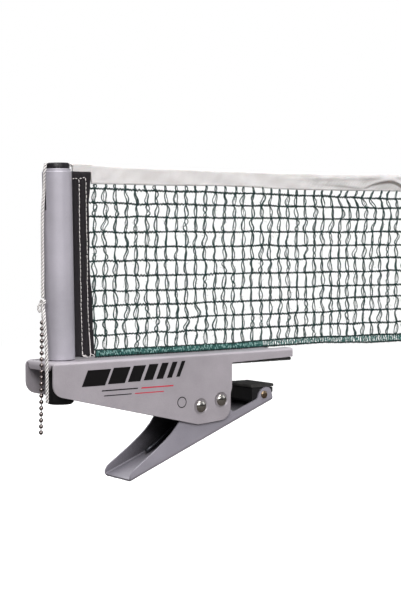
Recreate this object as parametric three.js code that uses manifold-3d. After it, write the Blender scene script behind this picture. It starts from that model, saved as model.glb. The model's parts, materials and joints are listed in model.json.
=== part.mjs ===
// Table tennis net clamp with its net post and a section of the net.
// Millimetres, +Z up. Z = 0 is the underside of the upper jaw pad (the playing surface),
// X = 0 is the throat of the clamp (the side face of the table), +X points along the net
// towards the middle of the table, Y = 0 is the plane of the net.
// Pieces are drawn at layout size. addPart brings each one to full size: PAD_FACE comes
// down to Z = 0 and FULL_SIZE then puts the top of the net tape at 152.5 mm.
// In comments, "outer" along X means towards -X, away from the table.
import * as THREE from 'three';
import { mergeVertices } from 'three/addons/utils/BufferGeometryUtils.js';
import Module from 'manifold-3d';

const wasm = await Module();
wasm.setup();

const { degToRad } = THREE.MathUtils;

// ---------------------------------------------------------------- driving dimensions
const PAD_FACE = 2.4;          // layout height of the upper jaw pad's face
const FULL_SIZE = 1.016;       // full size over layout size
const SHEET = 1.5;             // steel sheet thickness

// frame
const FRAME_HALF = 20;         // half the outer width of the frame channel
const FRAME_LEFT = -157;       // outer end
const WEB_TOP = 11.5;          // top face of the web
const JAW_TIP = 60.9;          // inner end of the upper jaw
const ARM_BEND = 20;           // the upper jaw is set upwards from here
const ARM_RISE = 0.9;          // by this much at the tip
const FORK_X = 44.6;           // the web is cut back to here between the jaw's two edges
const FORK_HALF = 12;          // half width of that opening
const JAW_UNDER = 3.6;         // lower edge of the jaw's side strips at the throat
const JAW_UNDER_TIP = 5.3;     // and at the tip

// post
const FOOT_X = -140;           // axis of the foot, its plug and screw
const TUBE_X = -139.6;         // tube axis at its base
const TUBE_BASE = 11.9;        // height of the tube's lower end
const TUBE_TOP = 148;
const TUBE_R = 10.6;
const BORE_R = TUBE_R - 1.5;
const LEAN = degToRad(0.94);   // the post leans outwards
const SCREW_HOLE_R = 2.1;

// pins and their holes
const PIVOT = { x: -10.4, z: -24.4 };     // lever pivot
const STOP = { x: -29.5, z: -27.9 };      // stop rivet
const JAW_PIN = { x: 33.1, z: -23.3 };
const RIVET_R = 3;
const BUSH_R = 4;
const JAW_PIN_R = 2;
const RUN = 0.07;              // radial running clearance

// lever
const LEVER_HALF = 17.8;       // half the outer width of the lever channel
const LEVER_LENGTH = 142.3;
const LEVER_ANGLE = Math.atan2(51.2, 132.8);   // slope of the lever floor at rest
const LEVER_TIP = { x: -90.7, z: -79.15 };     // handle end of the floor

// lower jaw
const LOWER_PAD_TOP = -15;     // top face of the lower jaw pad at rest

// net
const NET_END = 215;           // inner end of the modelled net section
const NET_TOP = 152.5;         // layout height of the tape's top edge
const NET_BOTTOM = 11.9;       // lower edge of the hem, just above the web
const HEM_TOP = 17.7;
const ROD_X = -135.3;          // axis of the net rod at ROD_MID
const ROD_MID = 87.5;          // height about which the rod leans

// ball chain
const CHAIN = { x: -158.1, y: -6.4, z: 39.3 };   // centre of the top bead
const BEAD_R = 1.55;
const BEAD_PITCH = 4.32;

// ---------------------------------------------------------------- materials
const FINISH = {
  paint: { color: 0xa7a3a6, roughness: 0.45, metalness: 0.35 },
  chrome: { color: 0xb9b7b4, roughness: 0.2, metalness: 1 },
  steel: { color: 0x8d8d8f, roughness: 0.35, metalness: 0.9 },
  blackPlastic: { color: 0x1d1c1e, roughness: 0.55, metalness: 0 },
  rubber: { color: 0x1a1a1a, roughness: 0.85, metalness: 0 },
  brass: { color: 0x9a7b4a, roughness: 0.35, metalness: 0.9 },
  darkBand: { color: 0x262329, roughness: 0.9, metalness: 0 },
  greenNet: { color: 0x25483f, roughness: 0.9, metalness: 0 },
  whiteCloth: { color: 0xe6e2dd, roughness: 0.9, metalness: 0 },
};

// ---------------------------------------------------------------- solids
function toSolid(geometry) {
  const bare = geometry.index ? geometry.toNonIndexed() : geometry.clone();
  bare.deleteAttribute('normal');
  bare.deleteAttribute('uv');
  const welded = mergeVertices(bare, 1e-5);
  return new wasm.Manifold(new wasm.Mesh({
    numProp: 3,
    vertProperties: new Float32Array(welded.attributes.position.array),
    triVerts: new Uint32Array(welded.index.array),
  }));
}

function toGeometry(solid) {
  const mesh = solid.getMesh();
  const geometry = new THREE.BufferGeometry();
  const positions = new Float32Array(mesh.vertProperties);
  geometry.setAttribute('position', new THREE.BufferAttribute(positions, 3));
  geometry.setIndex(new THREE.BufferAttribute(new Uint32Array(mesh.triVerts), 1));
  geometry.computeVertexNormals();
  return geometry;
}

const cut = (body, ...tools) => tools.reduce((rest, tool) => rest.subtract(tool), body);
const join = (...solids) => solids.reduce((sum, solid) => sum.add(solid));

function box(x0, x1, y0, y1, z0, z1) {
  const geometry = new THREE.BoxGeometry(x1 - x0, y1 - y0, z1 - z0);
  geometry.translate((x0 + x1) / 2, (y0 + y1) / 2, (z0 + z1) / 2);
  return toSolid(geometry);
}

// ---------------------------------------------------------------- outlines and extrusions
// Closed shape from corners [x, y, radius]; a corner without a radius is sharp.
function outline(corners, arcSteps = 6) {
  const points = [];
  const count = corners.length;
  corners.forEach(([x, y, radius = 0], i) => {
    const corner = new THREE.Vector2(x, y);
    if (radius <= 0) {
      points.push(corner);
      return;
    }
    const towards = ([otherX, otherY]) => new THREE.Vector2(otherX - x, otherY - y).normalize();
    const back = towards(corners[(i + count - 1) % count]);
    const ahead = towards(corners[(i + 1) % count]);
    const halfAngle = Math.acos(THREE.MathUtils.clamp(back.dot(ahead), -1, 1)) / 2;
    const setback = radius / Math.tan(halfAngle);
    const bisector = back.clone().add(ahead).normalize();
    const centre = corner.clone().addScaledVector(bisector, radius / Math.sin(halfAngle));
    const arcStart = corner.clone().addScaledVector(back, setback);
    const arcEnd = corner.clone().addScaledVector(ahead, setback);
    const startAngle = Math.atan2(arcStart.y - centre.y, arcStart.x - centre.x);
    let turn = Math.atan2(arcEnd.y - centre.y, arcEnd.x - centre.x) - startAngle;
    while (turn > Math.PI) turn -= 2 * Math.PI;
    while (turn < -Math.PI) turn += 2 * Math.PI;
    for (let k = 0; k <= arcSteps; k++) {
      const angle = startAngle + (turn * k) / arcSteps;
      points.push(new THREE.Vector2(
        centre.x + radius * Math.cos(angle),
        centre.y + radius * Math.sin(angle),
      ));
    }
  });
  return new THREE.Shape(points);
}

// A side-view shape in (x, z), extruded across the width from -halfWidth to halfWidth.
function sideExtrude(shape, halfWidth) {
  const geometry = new THREE.ExtrudeGeometry(shape, { depth: 2 * halfWidth, bevelEnabled: false });
  geometry.rotateX(Math.PI / 2);
  geometry.translate(0, halfWidth, 0);
  return geometry;
}

// A cross-section in (y, z), extruded along X from x0 to x1.
function endExtrude(shape, x0, x1) {
  const geometry = new THREE.ExtrudeGeometry(shape, { depth: x1 - x0, bevelEnabled: false });
  geometry.applyMatrix4(new THREE.Matrix4().set(
    0, 0, 1, x0,
    1, 0, 0, 0,
    0, 1, 0, 0,
    0, 0, 0, 1,
  ));
  return toSolid(geometry);
}

// A plan shape in (x, y), extruded upwards from z0 to z1.
function planExtrude(shape, z0, z1) {
  const options = { depth: z1 - z0, bevelEnabled: false, curveSegments: 10 };
  const geometry = new THREE.ExtrudeGeometry(shape, options);
  geometry.translate(0, 0, z0);
  return toSolid(geometry);
}

// ---------------------------------------------------------------- turned shapes
// Profiles are rows of [radius, height along the axis].
function lathe(profile, segments) {
  const points = profile.map(([radius, height]) => new THREE.Vector2(radius, height));
  return new THREE.LatheGeometry(points, segments);
}

// Turned about the vertical axis through (x, 0).
function latheZ(profile, x, segments) {
  const geometry = lathe(profile, segments);
  geometry.rotateX(Math.PI / 2);
  geometry.translate(x, 0, 0);
  return geometry;
}

// Turned about the line along Y through a place { x, z }.
function latheY(profile, place, segments) {
  const geometry = lathe(profile, segments);
  geometry.translate(place.x, 0, place.z);
  return geometry;
}

const rod = (radius, low, high) => [[0, low], [radius, low], [radius, high], [0, high]];

const cylinderZ = (radius, z0, z1, x, segments) => toSolid(latheZ(rod(radius, z0, z1), x, segments));

// A cutter along Y, longer than any piece is wide.
const crossHole = (place, radius, segments) => toSolid(latheY(rod(radius, -30, 30), place, segments));

// ---------------------------------------------------------------- swept wires
function sweep(curve, radius, sides, steps) {
  const corners = [];
  for (let i = 0; i < sides; i++) {
    const angle = (2 * Math.PI * i) / sides;
    corners.push(new THREE.Vector2(radius * Math.cos(angle), radius * Math.sin(angle)));
  }
  const section = new THREE.Shape(corners);
  section.closePath();
  return new THREE.ExtrudeGeometry(section, { steps, bevelEnabled: false, extrudePath: curve });
}

function smoothCurve(stations) {
  const points = stations.map((station) => new THREE.Vector3(...station));
  return new THREE.CatmullRomCurve3(points, false, 'centripetal');
}

// Straight runs between points, each taking an equal share of the parameter, so that
// a sweep with one step per run has a section exactly at every point.
class Polyline extends THREE.Curve {
  constructor(points) {
    super();
    this.points = points;
    this.runs = points.length - 1;
  }

  getPoint(t) {
    const position = t * this.runs;
    const i = Math.min(Math.floor(position), this.runs - 1);
    return this.points[i].clone().lerp(this.points[i + 1], position - i);
  }

  getPointAt(t) {
    return this.getPoint(t);
  }

  getTangentAt(t) {
    const halfRun = 0.5 / this.runs;
    const behind = this.getPoint(Math.max(0, t - halfRun));
    return this.getPoint(Math.min(1, t + halfRun)).sub(behind).normalize();
  }
}

// ---------------------------------------------------------------- clamp frame
const CHEEK_CUTTER_LOW = -60;  // the channel's cutters run down past its cheeks
const INNER_HALF = FRAME_HALF - SHEET;

// Side view: tapered cheeks, throat and the long upper jaw.
function frameOuterSide() {
  const underAtBend = JAW_UNDER + (JAW_UNDER_TIP - JAW_UNDER) * ARM_BEND / JAW_TIP;
  return outline([
    [FRAME_LEFT, WEB_TOP, 4.2],
    [FRAME_LEFT, -11.6, 9],
    [-32, -41.3, 6],
    [-1.4, -39.2, 10],
    [-1.4, -20, 3],
    [0, -15.5, 3],
    [0, JAW_UNDER, 0.8],
    [ARM_BEND, underAtBend],
    [JAW_TIP, JAW_UNDER_TIP - ARM_RISE, 1.6],
    [JAW_TIP, WEB_TOP, 2.4],
  ]);
}

function frameInnerSide() {
  return outline([
    [FRAME_LEFT + SHEET, WEB_TOP - SHEET, 4.2 - SHEET],
    [FRAME_LEFT + SHEET, CHEEK_CUTTER_LOW],
    [JAW_TIP - SHEET, CHEEK_CUTTER_LOW],
    [JAW_TIP - SHEET, WEB_TOP - SHEET, 2.4 - SHEET],
  ]);
}

// A side view given the channel's rounded cross-section and the jaw tip's rounded plan.
function frameBody(side, inset, tipRadius) {
  const half = FRAME_HALF - inset;
  const top = WEB_TOP - inset;
  const edgeRadius = 2.6 - inset;
  const section = outline([
    [-half, top, edgeRadius], [-half, CHEEK_CUTTER_LOW],
    [half, CHEEK_CUTTER_LOW], [half, top, edgeRadius],
  ], 5);
  const plan = outline([
    [FRAME_LEFT - 2, -half], [JAW_TIP - inset, -half, tipRadius],
    [JAW_TIP - inset, half, tipRadius], [FRAME_LEFT - 2, half],
  ], 5);
  const limits = endExtrude(section, FRAME_LEFT - 1, JAW_TIP + 1)
    .intersect(planExtrude(plan, -90, 40));
  return toSolid(sideExtrude(side, FRAME_HALF)).intersect(limits);
}

// Trims the outer end wall to a short tongue with rounded lower corners.
function tongueCutter() {
  const half = INNER_HALF - 0.01;
  const section = outline([
    [-half, -30], [half, -30], [half, 9.3],
    [INNER_HALF - 2.6, 9.3, 1.5], [INNER_HALF - 4.6, 5.3, 3],
    [-INNER_HALF + 4.6, 5.3, 3], [-INNER_HALF + 2.6, 9.3, 1.5],
    [-half, 9.3],
  ]);
  return endExtrude(section, FRAME_LEFT - 2, FRAME_LEFT + 4);
}

// Cuts the web back from the tip, leaving the jaw's two edges.
function forkCutter() {
  return planExtrude(outline([
    [FORK_X, -FORK_HALF, 3], [JAW_TIP + 5, -FORK_HALF],
    [JAW_TIP + 5, FORK_HALF], [FORK_X, FORK_HALF, 3],
  ], 5), 0, 20);
}

// The upper jaw is sheared upwards so that it rises towards its tip.
function raiseArm(frame) {
  const fixed = frame.intersect(box(FRAME_LEFT - 10, ARM_BEND, -40, 40, -90, 40));
  const arm = toGeometry(frame.intersect(box(ARM_BEND, JAW_TIP + 10, -40, 40, -90, 40)));
  const slope = ARM_RISE / (JAW_TIP - ARM_BEND);
  arm.applyMatrix4(new THREE.Matrix4().set(
    1, 0, 0, 0,
    0, 1, 0, 0,
    slope, 0, 1, -slope * ARM_BEND,
    0, 0, 0, 1,
  ));
  return join(fixed, toSolid(arm));
}

function clampFrame() {
  const frame = cut(
    frameBody(frameOuterSide(), 0, 1.7),
    frameBody(frameInnerSide(), SHEET, 0.8),
    forkCutter(),
    tongueCutter(),
    crossHole(PIVOT, RIVET_R + 0.1, 28),
    crossHole(STOP, RIVET_R + 0.1, 28),
    cylinderZ(9.05, 0, 20, FOOT_X, 40),
  );
  return toGeometry(raiseArm(frame));
}

// ---------------------------------------------------------------- jaw pads
// Outline points of a row of grooves in a pad's face, in order of x.
function gripGrooves({ count, firstX, pitch, face, floor, faceHalf, floorHalf }) {
  const points = [];
  for (let i = 0; i < count; i++) {
    const x = firstX + i * pitch;
    points.push([x - faceHalf, face], [x - floorHalf, floor]);
    points.push([x + floorHalf, floor], [x + faceHalf, face]);
  }
  return points;
}

function upperJawPad() {
  const grooves = gripGrooves({
    count: 5, firstX: 11.5, pitch: 9.2,
    face: PAD_FACE, floor: PAD_FACE + 0.5, faceHalf: 0.8, floorHalf: 0.5,
  });
  return sideExtrude(outline([
    [-2.4, 9.7, 0.8], [-2.4, 3, 0.4], [-1.8, PAD_FACE],
    ...grooves,
    // a lip runs out under the jaw's end wall
    [59.3, PAD_FACE], [60, PAD_FACE + 0.7], [60, 4.6, 0.5], [58.8, 4.8],
    [58.8, 7.4, 1], [57.6, 8.1], [FORK_X - 0.6, 8.1], [FORK_X - 2.2, 9.7],
  ], 3), 18.1);
}

function lowerJawPad() {
  const grooves = gripGrooves({
    count: 4, firstX: 26.3, pitch: 4.3,
    face: LOWER_PAD_TOP, floor: LOWER_PAD_TOP - 0.6, faceHalf: 0.6, floorHalf: 0.35,
  });
  return sideExtrude(outline([
    [21.8, -17.6, 0.5], [21.8, -15.8, 0.8], [22.8, LOWER_PAD_TOP],
    ...grooves,
    [43, LOWER_PAD_TOP], [44, -15.8, 0.8], [44, -17.6, 0.5],
  ], 3), 16);
}

// ---------------------------------------------------------------- post
// Leans an upright solid outwards about the line along Y through (x, z).
function lean(solid, x, z) {
  const geometry = toGeometry(solid);
  geometry.translate(-x, 0, -z);
  geometry.rotateY(-LEAN);
  geometry.translate(x, 0, z);
  return geometry;
}

function postTube() {
  // the top rim is turned down to a thinner collar under the cap
  const tube = toSolid(latheZ([
    [TUBE_R - 0.4, TUBE_BASE], [TUBE_R, TUBE_BASE + 0.4],
    [TUBE_R, 145.7], [TUBE_R - 0.3, 146], [TUBE_R - 0.7, 146],
    [TUBE_R - 0.7, TUBE_TOP - 0.2], [TUBE_R - 0.9, TUBE_TOP],
    [BORE_R, TUBE_TOP], [BORE_R, TUBE_BASE], [TUBE_R - 0.4, TUBE_BASE],
  ], TUBE_X, 48));
  const cordSlot = box(TUBE_X - 14, TUBE_X - 6, -2, 2, 118.5, TUBE_TOP + 5);
  const netSlot = box(TUBE_X + 6, TUBE_X + 14, -2.2, 2.2, 31.5, TUBE_TOP + 5);
  return lean(cut(tube, cordSlot, netSlot), TUBE_X, TUBE_BASE);
}

function postCap() {
  const cap = toSolid(latheZ([
    [0, 138.6], [BORE_R - 0.7, 138.6], [BORE_R - 0.3, 139.2], [BORE_R - 0.3, TUBE_TOP + 0.2],
    [9.2, TUBE_TOP + 0.3], [9.2, 150.9], [8.7, 151.8], [7.8, 152.2], [0, 152.3],
  ], TUBE_X, 36));
  const topGroove = box(TUBE_X - 14, TUBE_X + 14, -1.6, 1.6, 149.6, 160);
  const cordNotch = box(TUBE_X - 14, TUBE_X - 7.4, -1.6, 1.6, 130, 160);
  const netNotch = box(TUBE_X + 6.2, TUBE_X + 14, -2.4, 2.4, 130, TUBE_TOP + 0.25);
  return lean(cut(cap, topGroove, cordNotch, netNotch), TUBE_X, TUBE_BASE);
}

// A plastic plug under the web whose spigot centres the tube.
function postFoot() {
  const foot = toSolid(latheZ([
    [0, -13.5], [4.6, -13.5], [4.6, -20], [8.4, -20], [9.8, -18.6], [10.3, -16.8],
    [10.3, 9.7], [8.2, 9.7], [8.2, 29.4], [7.7, 30], [0, 30],
  ], FOOT_X, 40));
  return toGeometry(cut(foot, cylinderZ(SCREW_HOLE_R, -25, 40, FOOT_X, 24)));
}

// A plug fixed in the tube above the spigot; its boss has a flat on the inner side.
function postPlug() {
  const disc = cylinderZ(BORE_R - 0.4, 30.4, 31.2, FOOT_X, 28);
  const bossProfile = [[0, 30.5], [5, 30.5], [5, 37.5], [4.4, 38], [0, 38]];
  const boss = toSolid(latheZ(bossProfile, FOOT_X, 24));
  const screwHole = cylinderZ(SCREW_HOLE_R, 20, 50, FOOT_X, 24);
  const flat = box(FOOT_X + 1.6, FOOT_X + 12, -3.6, 3.6, 31.3, 40);
  return toGeometry(cut(join(disc, boss), screwHole, flat));
}

// Pulls the tube down on the web; the head has a cross recess.
function postScrew() {
  const screw = toSolid(latheZ([
    [0, -18], [2.9, -18], [3.9, -17], [3.9, -15.3],
    [1.9, -15.3], [1.9, 35.5], [1.4, 36.4], [0, 36.4],
  ], FOOT_X, 28));
  const recessSlot = (halfX, halfY) => (
    box(FOOT_X - halfX, FOOT_X + halfX, -halfY, halfY, -19, -16.8)
  );
  const recess = join(recessSlot(2.2, 0.45), recessSlot(0.45, 2.2));
  return toGeometry(cut(screw, recess));
}

function postWasher() {
  return latheZ([
    [2.3, -15.1], [4.3, -15.1], [4.3, -13.8], [2.3, -13.8], [2.3, -15.1],
  ], FOOT_X, 24);
}

// ---------------------------------------------------------------- rivets and sleeves
function rivet(place) {
  const HEAD_R = 4.6;
  const DOME_BASE = FRAME_HALF + 0.6;
  const DOME_RISE = 2;
  const shoulder = FRAME_HALF + 0.15;
  const dome = [];   // from the rim to the axis
  for (let i = 0; i <= 5; i++) {
    const angle = (Math.PI / 2) * (1 - i / 5);
    dome.push([HEAD_R * Math.sin(angle), DOME_BASE + DOME_RISE * Math.cos(angle)]);
  }
  const lowDome = dome.map(([radius, height]) => [radius, -height]).reverse();
  return latheY([
    ...lowDome,
    [HEAD_R, -shoulder], [RIVET_R, -shoulder], [RIVET_R, shoulder], [HEAD_R, shoulder],
    ...dome,
  ], place, 24);
}

function rivetSleeve(place) {
  const half = 18.35;
  const boreR = RIVET_R + 0.06;
  return latheY([
    [boreR, -half], [BUSH_R, -half], [BUSH_R, half], [boreR, half], [boreR, -half],
  ], place, 40);
}

// ---------------------------------------------------------------- clamp lever
// Lever frame: x along the floor from the handle tip, z square to the floor.
const floorCos = Math.cos(LEVER_ANGLE);
const floorSin = Math.sin(LEVER_ANGLE);
const leverMatrix = new THREE.Matrix4().set(
  floorCos, 0, -floorSin, LEVER_TIP.x,
  0, 1, 0, 0,
  floorSin, 0, floorCos, LEVER_TIP.z,
  0, 0, 0, 1,
);
const leverInverse = leverMatrix.clone().invert();
const toLever = ({ x, z }) => new THREE.Vector3(x, 0, z).applyMatrix4(leverInverse);
const leverPivot = toLever(PIVOT);
const leverStop = toLever(STOP);

// Upper edge of the cheeks from the handle tip to the pivot hump, [x, z] in the lever frame.
const HANDLE_EDGE = [
  [0, 2], [0.9, 4.1], [3.8, 6.3], [8, 7.5], [12, 8.3], [20, 10.1], [30, 12.5],
  [38, 14.8], [45, 17.2], [50, 19.5], [54, 21.9], [57.5, 24.1], [61, 25.7],
  [64.5, 26.3], [68.2, 26.3],
];
// From the hump over the jaw pin's ear and back along the floor.
const JAW_EDGE = [
  [100.6, 15.6], [101.2, 11.1], [103.2, 8.3], [106, 7.5], [120, 7.3], [127.6, 7.1],
  [129.4, 8.1], [130.8, 9.9], [132.6, 11.5], [135.2, 12.4], [138, 12.5], [140.6, 11.9],
  [142.4, 10.6], [143.2, 8.4], [143, 4.4], [LEVER_LENGTH, 0], [0, 0],
];

function leverSide() {
  const HUMP_R = 7.6;
  const hump = [];
  for (let i = 0; i <= 10; i++) {
    const angle = degToRad(155 - i * 16.5);
    hump.push([
      leverPivot.x + HUMP_R * Math.cos(angle),
      leverPivot.z + HUMP_R * Math.sin(angle),
    ]);
  }
  return outline([...HANDLE_EDGE, ...hump, ...JAW_EDGE]);
}

// Upward-open channel section, inset from the lever's outer faces.
function leverSection(inset, x0, x1) {
  const half = LEVER_HALF - inset;
  const edgeRadius = 2.6 - inset;
  return endExtrude(outline([
    [-half, inset, edgeRadius], [half, inset, edgeRadius], [half, 60], [-half, 60],
  ], 5), x0, x1);
}

// Open notch that clears the stop spacer as the lever swings open; its end is the stop.
// Round cutters along an arc about the pivot, with a box between each pair.
function stopNotch() {
  const halfWidth = BUSH_R + 0.45;
  const step = degToRad(9);
  const offsetX = leverStop.x - leverPivot.x;
  const offsetZ = leverStop.z - leverPivot.z;
  const arcR = Math.hypot(offsetX, offsetZ);
  const firstAngle = Math.atan2(offsetZ, offsetX) + degToRad(19.2);
  const onArc = (radius, angle) => ({
    x: leverPivot.x + radius * Math.cos(angle),
    z: leverPivot.z + radius * Math.sin(angle),
  });
  const cutters = [];
  for (let k = 0; k <= 6; k++) {
    const angle = firstAngle - k * step;
    cutters.push(crossHole(onArc(arcR, angle), halfWidth, 20));
    if (k > 0) {
      const midAngle = angle + step / 2;
      const chord = 2 * arcR * Math.sin(step / 2);
      const centre = onArc(arcR * Math.cos(step / 2), midAngle);
      const bridge = new THREE.BoxGeometry(2 * halfWidth, 60, chord);
      bridge.rotateY(-midAngle);
      bridge.translate(centre.x, 0, centre.z);
      cutters.push(toSolid(bridge));
    }
  }
  return join(...cutters);
}

function clampLever() {
  const outer = toSolid(sideExtrude(leverSide(), LEVER_HALF))
    .intersect(leverSection(0, -1, LEVER_LENGTH + 2));
  const lever = cut(
    outer,
    leverSection(SHEET, -5, LEVER_LENGTH + 5),
    stopNotch(),
    crossHole(leverPivot, BUSH_R + RUN, 40),
    crossHole(toLever(JAW_PIN), JAW_PIN_R + 0.06, 40),
  );
  return toGeometry(lever).applyMatrix4(leverMatrix);
}

// ---------------------------------------------------------------- jaw pin and shoe
function jawPin() {
  const highHalf = [   // from the shank to the crown of the head
    [JAW_PIN_R, LEVER_HALF + 0.1], [3, LEVER_HALF + 0.1], [2.5, LEVER_HALF + 0.75],
    [1.5, LEVER_HALF + 1], [0, LEVER_HALF + 1.05],
  ];
  const lowHalf = highHalf.map(([radius, height]) => [radius, -height]).reverse();
  return latheY([...lowHalf, ...highHalf], JAW_PIN, 40);
}

function lowerJawShoe() {
  const side = outline([
    [22.6, -17.9, 0.8], [22.6, -29.9, 2], [43.2, -22.1, 1.6], [43.2, -17.9, 0.8],
  ], 4);
  const shoe = toSolid(sideExtrude(side, 15.9));
  return toGeometry(cut(shoe, crossHole(JAW_PIN, JAW_PIN_R + RUN, 40)));
}

// ---------------------------------------------------------------- torsion spring
// Two coils round the pivot bush, one on each side of Y = 0. The two outer legs lie on the
// lever floor in the handle, and the joined inner legs pass close under the stop spacer.
function torsionSpring() {
  const WIRE_R = 1.4;
  const COIL_R = 6.15;           // mean radius
  const FULL_TURNS = 2;          // on top of the part turn between the two legs
  const COIL_PITCH = 3.3;
  const INNER_Y = 2.9;           // the inner legs' distance from Y = 0
  const COIL_STEPS = 44;
  const LEG_OVERRUN = 3;         // the inner legs run this far past the spacer

  // Vector2 holds (x, z) here.
  const pivot = new THREE.Vector2(PIVOT.x, PIVOT.z);
  const stop = new THREE.Vector2(STOP.x, STOP.z);
  const legEnd = new THREE.Vector3(36, 0, SHEET + WIRE_R + 0.25).applyMatrix4(leverMatrix);
  const outerEnd = new THREE.Vector2(legEnd.x, legEnd.z);
  const around = (centre, radius, angle) => new THREE.Vector2(
    centre.x + radius * Math.cos(angle),
    centre.y + radius * Math.sin(angle),
  );
  const angleFromPivot = (point) => Math.atan2(point.y - pivot.y, point.x - pivot.x);
  const at = (point, y) => new THREE.Vector3(point.x, y, point.y);

  // the outer leg is tangent to the coil on its lower right side, seen with +X to the right
  const startAngle = angleFromPivot(outerEnd) + Math.acos(COIL_R / pivot.distanceTo(outerEnd));

  // the inner leg leaves the coil's upper left side on a cross tangent below the spacer
  const spacerR = BUSH_R + WIRE_R + 0.3;
  const leaveAngle = angleFromPivot(stop)
    - Math.acos((COIL_R + spacerR) / pivot.distanceTo(stop));
  const leavePoint = around(pivot, COIL_R, leaveAngle);
  const spacerPoint = around(stop, -spacerR, leaveAngle);
  const legDirection = spacerPoint.clone().sub(leavePoint).normalize();
  const legLength = leavePoint.distanceTo(spacerPoint) + LEG_OVERRUN;
  const alongLeg = (distance) => leavePoint.clone().addScaledVector(legDirection, distance);

  let endAngle = leaveAngle;
  while (endAngle < startAngle) endAngle += 2 * Math.PI;
  endAngle += 2 * Math.PI * FULL_TURNS;
  const coilWidth = ((endAngle - startAngle) / (2 * Math.PI)) * COIL_PITCH;
  const outerY = INNER_Y + coilWidth;

  const half = [];
  const coilStart = around(pivot, COIL_R, startAngle);
  for (let k = 0; k < 5; k++) {
    half.push(at(outerEnd.clone().lerp(coilStart, k / 5), outerY));
  }
  for (let k = 0; k <= COIL_STEPS; k++) {
    const angle = startAngle + ((endAngle - startAngle) * k) / COIL_STEPS;
    half.push(at(around(pivot, COIL_R, angle), outerY - (coilWidth * k) / COIL_STEPS));
  }
  for (let k = 1; k <= 5; k++) {
    half.push(at(alongLeg((legLength * k) / 5), INNER_Y));
  }
  const bend = [];
  for (let k = 1; k < 6; k++) {
    const angle = (Math.PI * k) / 6;
    const point = alongLeg(legLength + INNER_Y * Math.sin(angle));
    bend.push(at(point, INNER_Y * Math.cos(angle)));
  }
  const mirrored = half.map(({ x, y, z }) => new THREE.Vector3(x, -y, z)).reverse();
  const path = [...half, ...bend, ...mirrored];
  return sweep(new Polyline(path), WIRE_R, 6, path.length - 1);
}

// ---------------------------------------------------------------- net
// Band at the post: it runs through the post's inner slot and wraps the rod inside.
function netSleeve() {
  const WRAP_LOW = 38.6;
  const WRAP_HIGH = 136;
  const band = toSolid(sideExtrude(outline([
    [-128.8, 12.6], [-110.9, 12.6], [-113.2, 54], [-115.3, 88], [-115.4, 125],
    [-113.8, 146.5], [-130.4, 146.5], [-130.4, 32.6], [-128.8, 31.4],
  ]), 1.5));
  const ringShape = new THREE.Shape();
  ringShape.absarc(ROD_X, 0, 3.1, 0, Math.PI * 2, false);
  const ringHole = new THREE.Path();
  ringHole.absarc(ROD_X, 0, 2, 0, Math.PI * 2, true);
  ringShape.holes.push(ringHole);
  const ring = planExtrude(ringShape, WRAP_LOW, WRAP_HIGH);
  const neck = box(ROD_X + 2.6, -129.2, -1.4, 1.4, WRAP_LOW, WRAP_HIGH);
  return toGeometry(join(band, toSolid(lean(join(ring, neck), ROD_X, ROD_MID))));
}

function netRod() {
  const upright = toSolid(latheZ([
    [0, 38.2], [1.3, 38.2], [1.7, 38.6], [1.7, 136.8], [1.3, 137.2], [0, 137.2],
  ], ROD_X, 20));
  return lean(upright, ROD_X, ROD_MID);
}

function netMesh() {
  return sideExtrude(outline([
    [-110.4, 18], [NET_END, 18], [NET_END, 137.1], [-113.9, 137.1],
    [-115, 125], [-114.9, 88], [-112.8, 54],
  ]), 0.7);
}

function netHem() {
  return sideExtrude(outline([
    [-110.3, NET_BOTTOM, 1.2], [18, NET_BOTTOM], [FORK_X, NET_BOTTOM + 0.5],
    [NET_END, NET_BOTTOM + 0.5, 1.2], [NET_END, HEM_TOP, 1.2], [-110.5, HEM_TOP, 1.2],
  ], 3), 1.8);
}

function netTape() {
  return sideExtrude(outline([
    [-128.6, 146.9, 0.8], [-113.4, 146.9], [-113.4, 137.5],
    [NET_END, 137.5, 1], [NET_END, NET_TOP, 1.4], [-128.6, NET_TOP, 1.4],
  ], 3), 1.8);
}

// ---------------------------------------------------------------- tension cord
const CORD_R = 1.1;
// Stations are [x, y, z].
// From the tape over the post cap and down outside the post to the knot.
const CORD_ABOVE_KNOT = [
  [-129.2, 0, 151.1], [-134, 0, 151.2], [-142, 0, 151.2], [-148.2, 0, 151.1],
  [-150.6, 0, 150.6], [-151.5, -0.1, 148.6], [-151.8, -0.2, 145], [-152.4, -0.3, 134],
  [-153.5, -0.5, 123], [-154.2, -0.8, 112], [-154.5, -1.2, 95], [-154.8, -1.8, 78],
  [-155.4, -2.6, 64], [-156, -3.6, 56],
];
// From the knot down past the frame's outer end.
const CORD_BELOW_KNOT = [
  [-156.2, -4.8, 50], [-157.2, -7.5, 46], [-158.5, -10.2, 41.4], [-158.8, -12.2, 30],
  [-158.8, -13.2, 22], [-158.8, -14, 6], [-158.9, -14.3, -8], [-159, -14.4, -16.6],
];
// Carries the ball chain.
const CHAIN_LOOP = [
  [-156.8, -4.6, 50.5], [-157.8, -5.7, 46.4], [CHAIN.x, CHAIN.y, 42.3],
];
const KNOT_LOBES = [
  { radius: 3, segments: [10, 7], stretch: [0.95, 1.15, 1.35], centre: [-156.4, -5, 52.4] },
  { radius: 2.2, segments: [8, 6], stretch: [1, 1.1, 1.2], centre: [-157.5, -3, 50.6] },
  { radius: 2, segments: [8, 6], stretch: [1, 1.2, 1.3], centre: [-156.5, -6.8, 55.6] },
];

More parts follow.
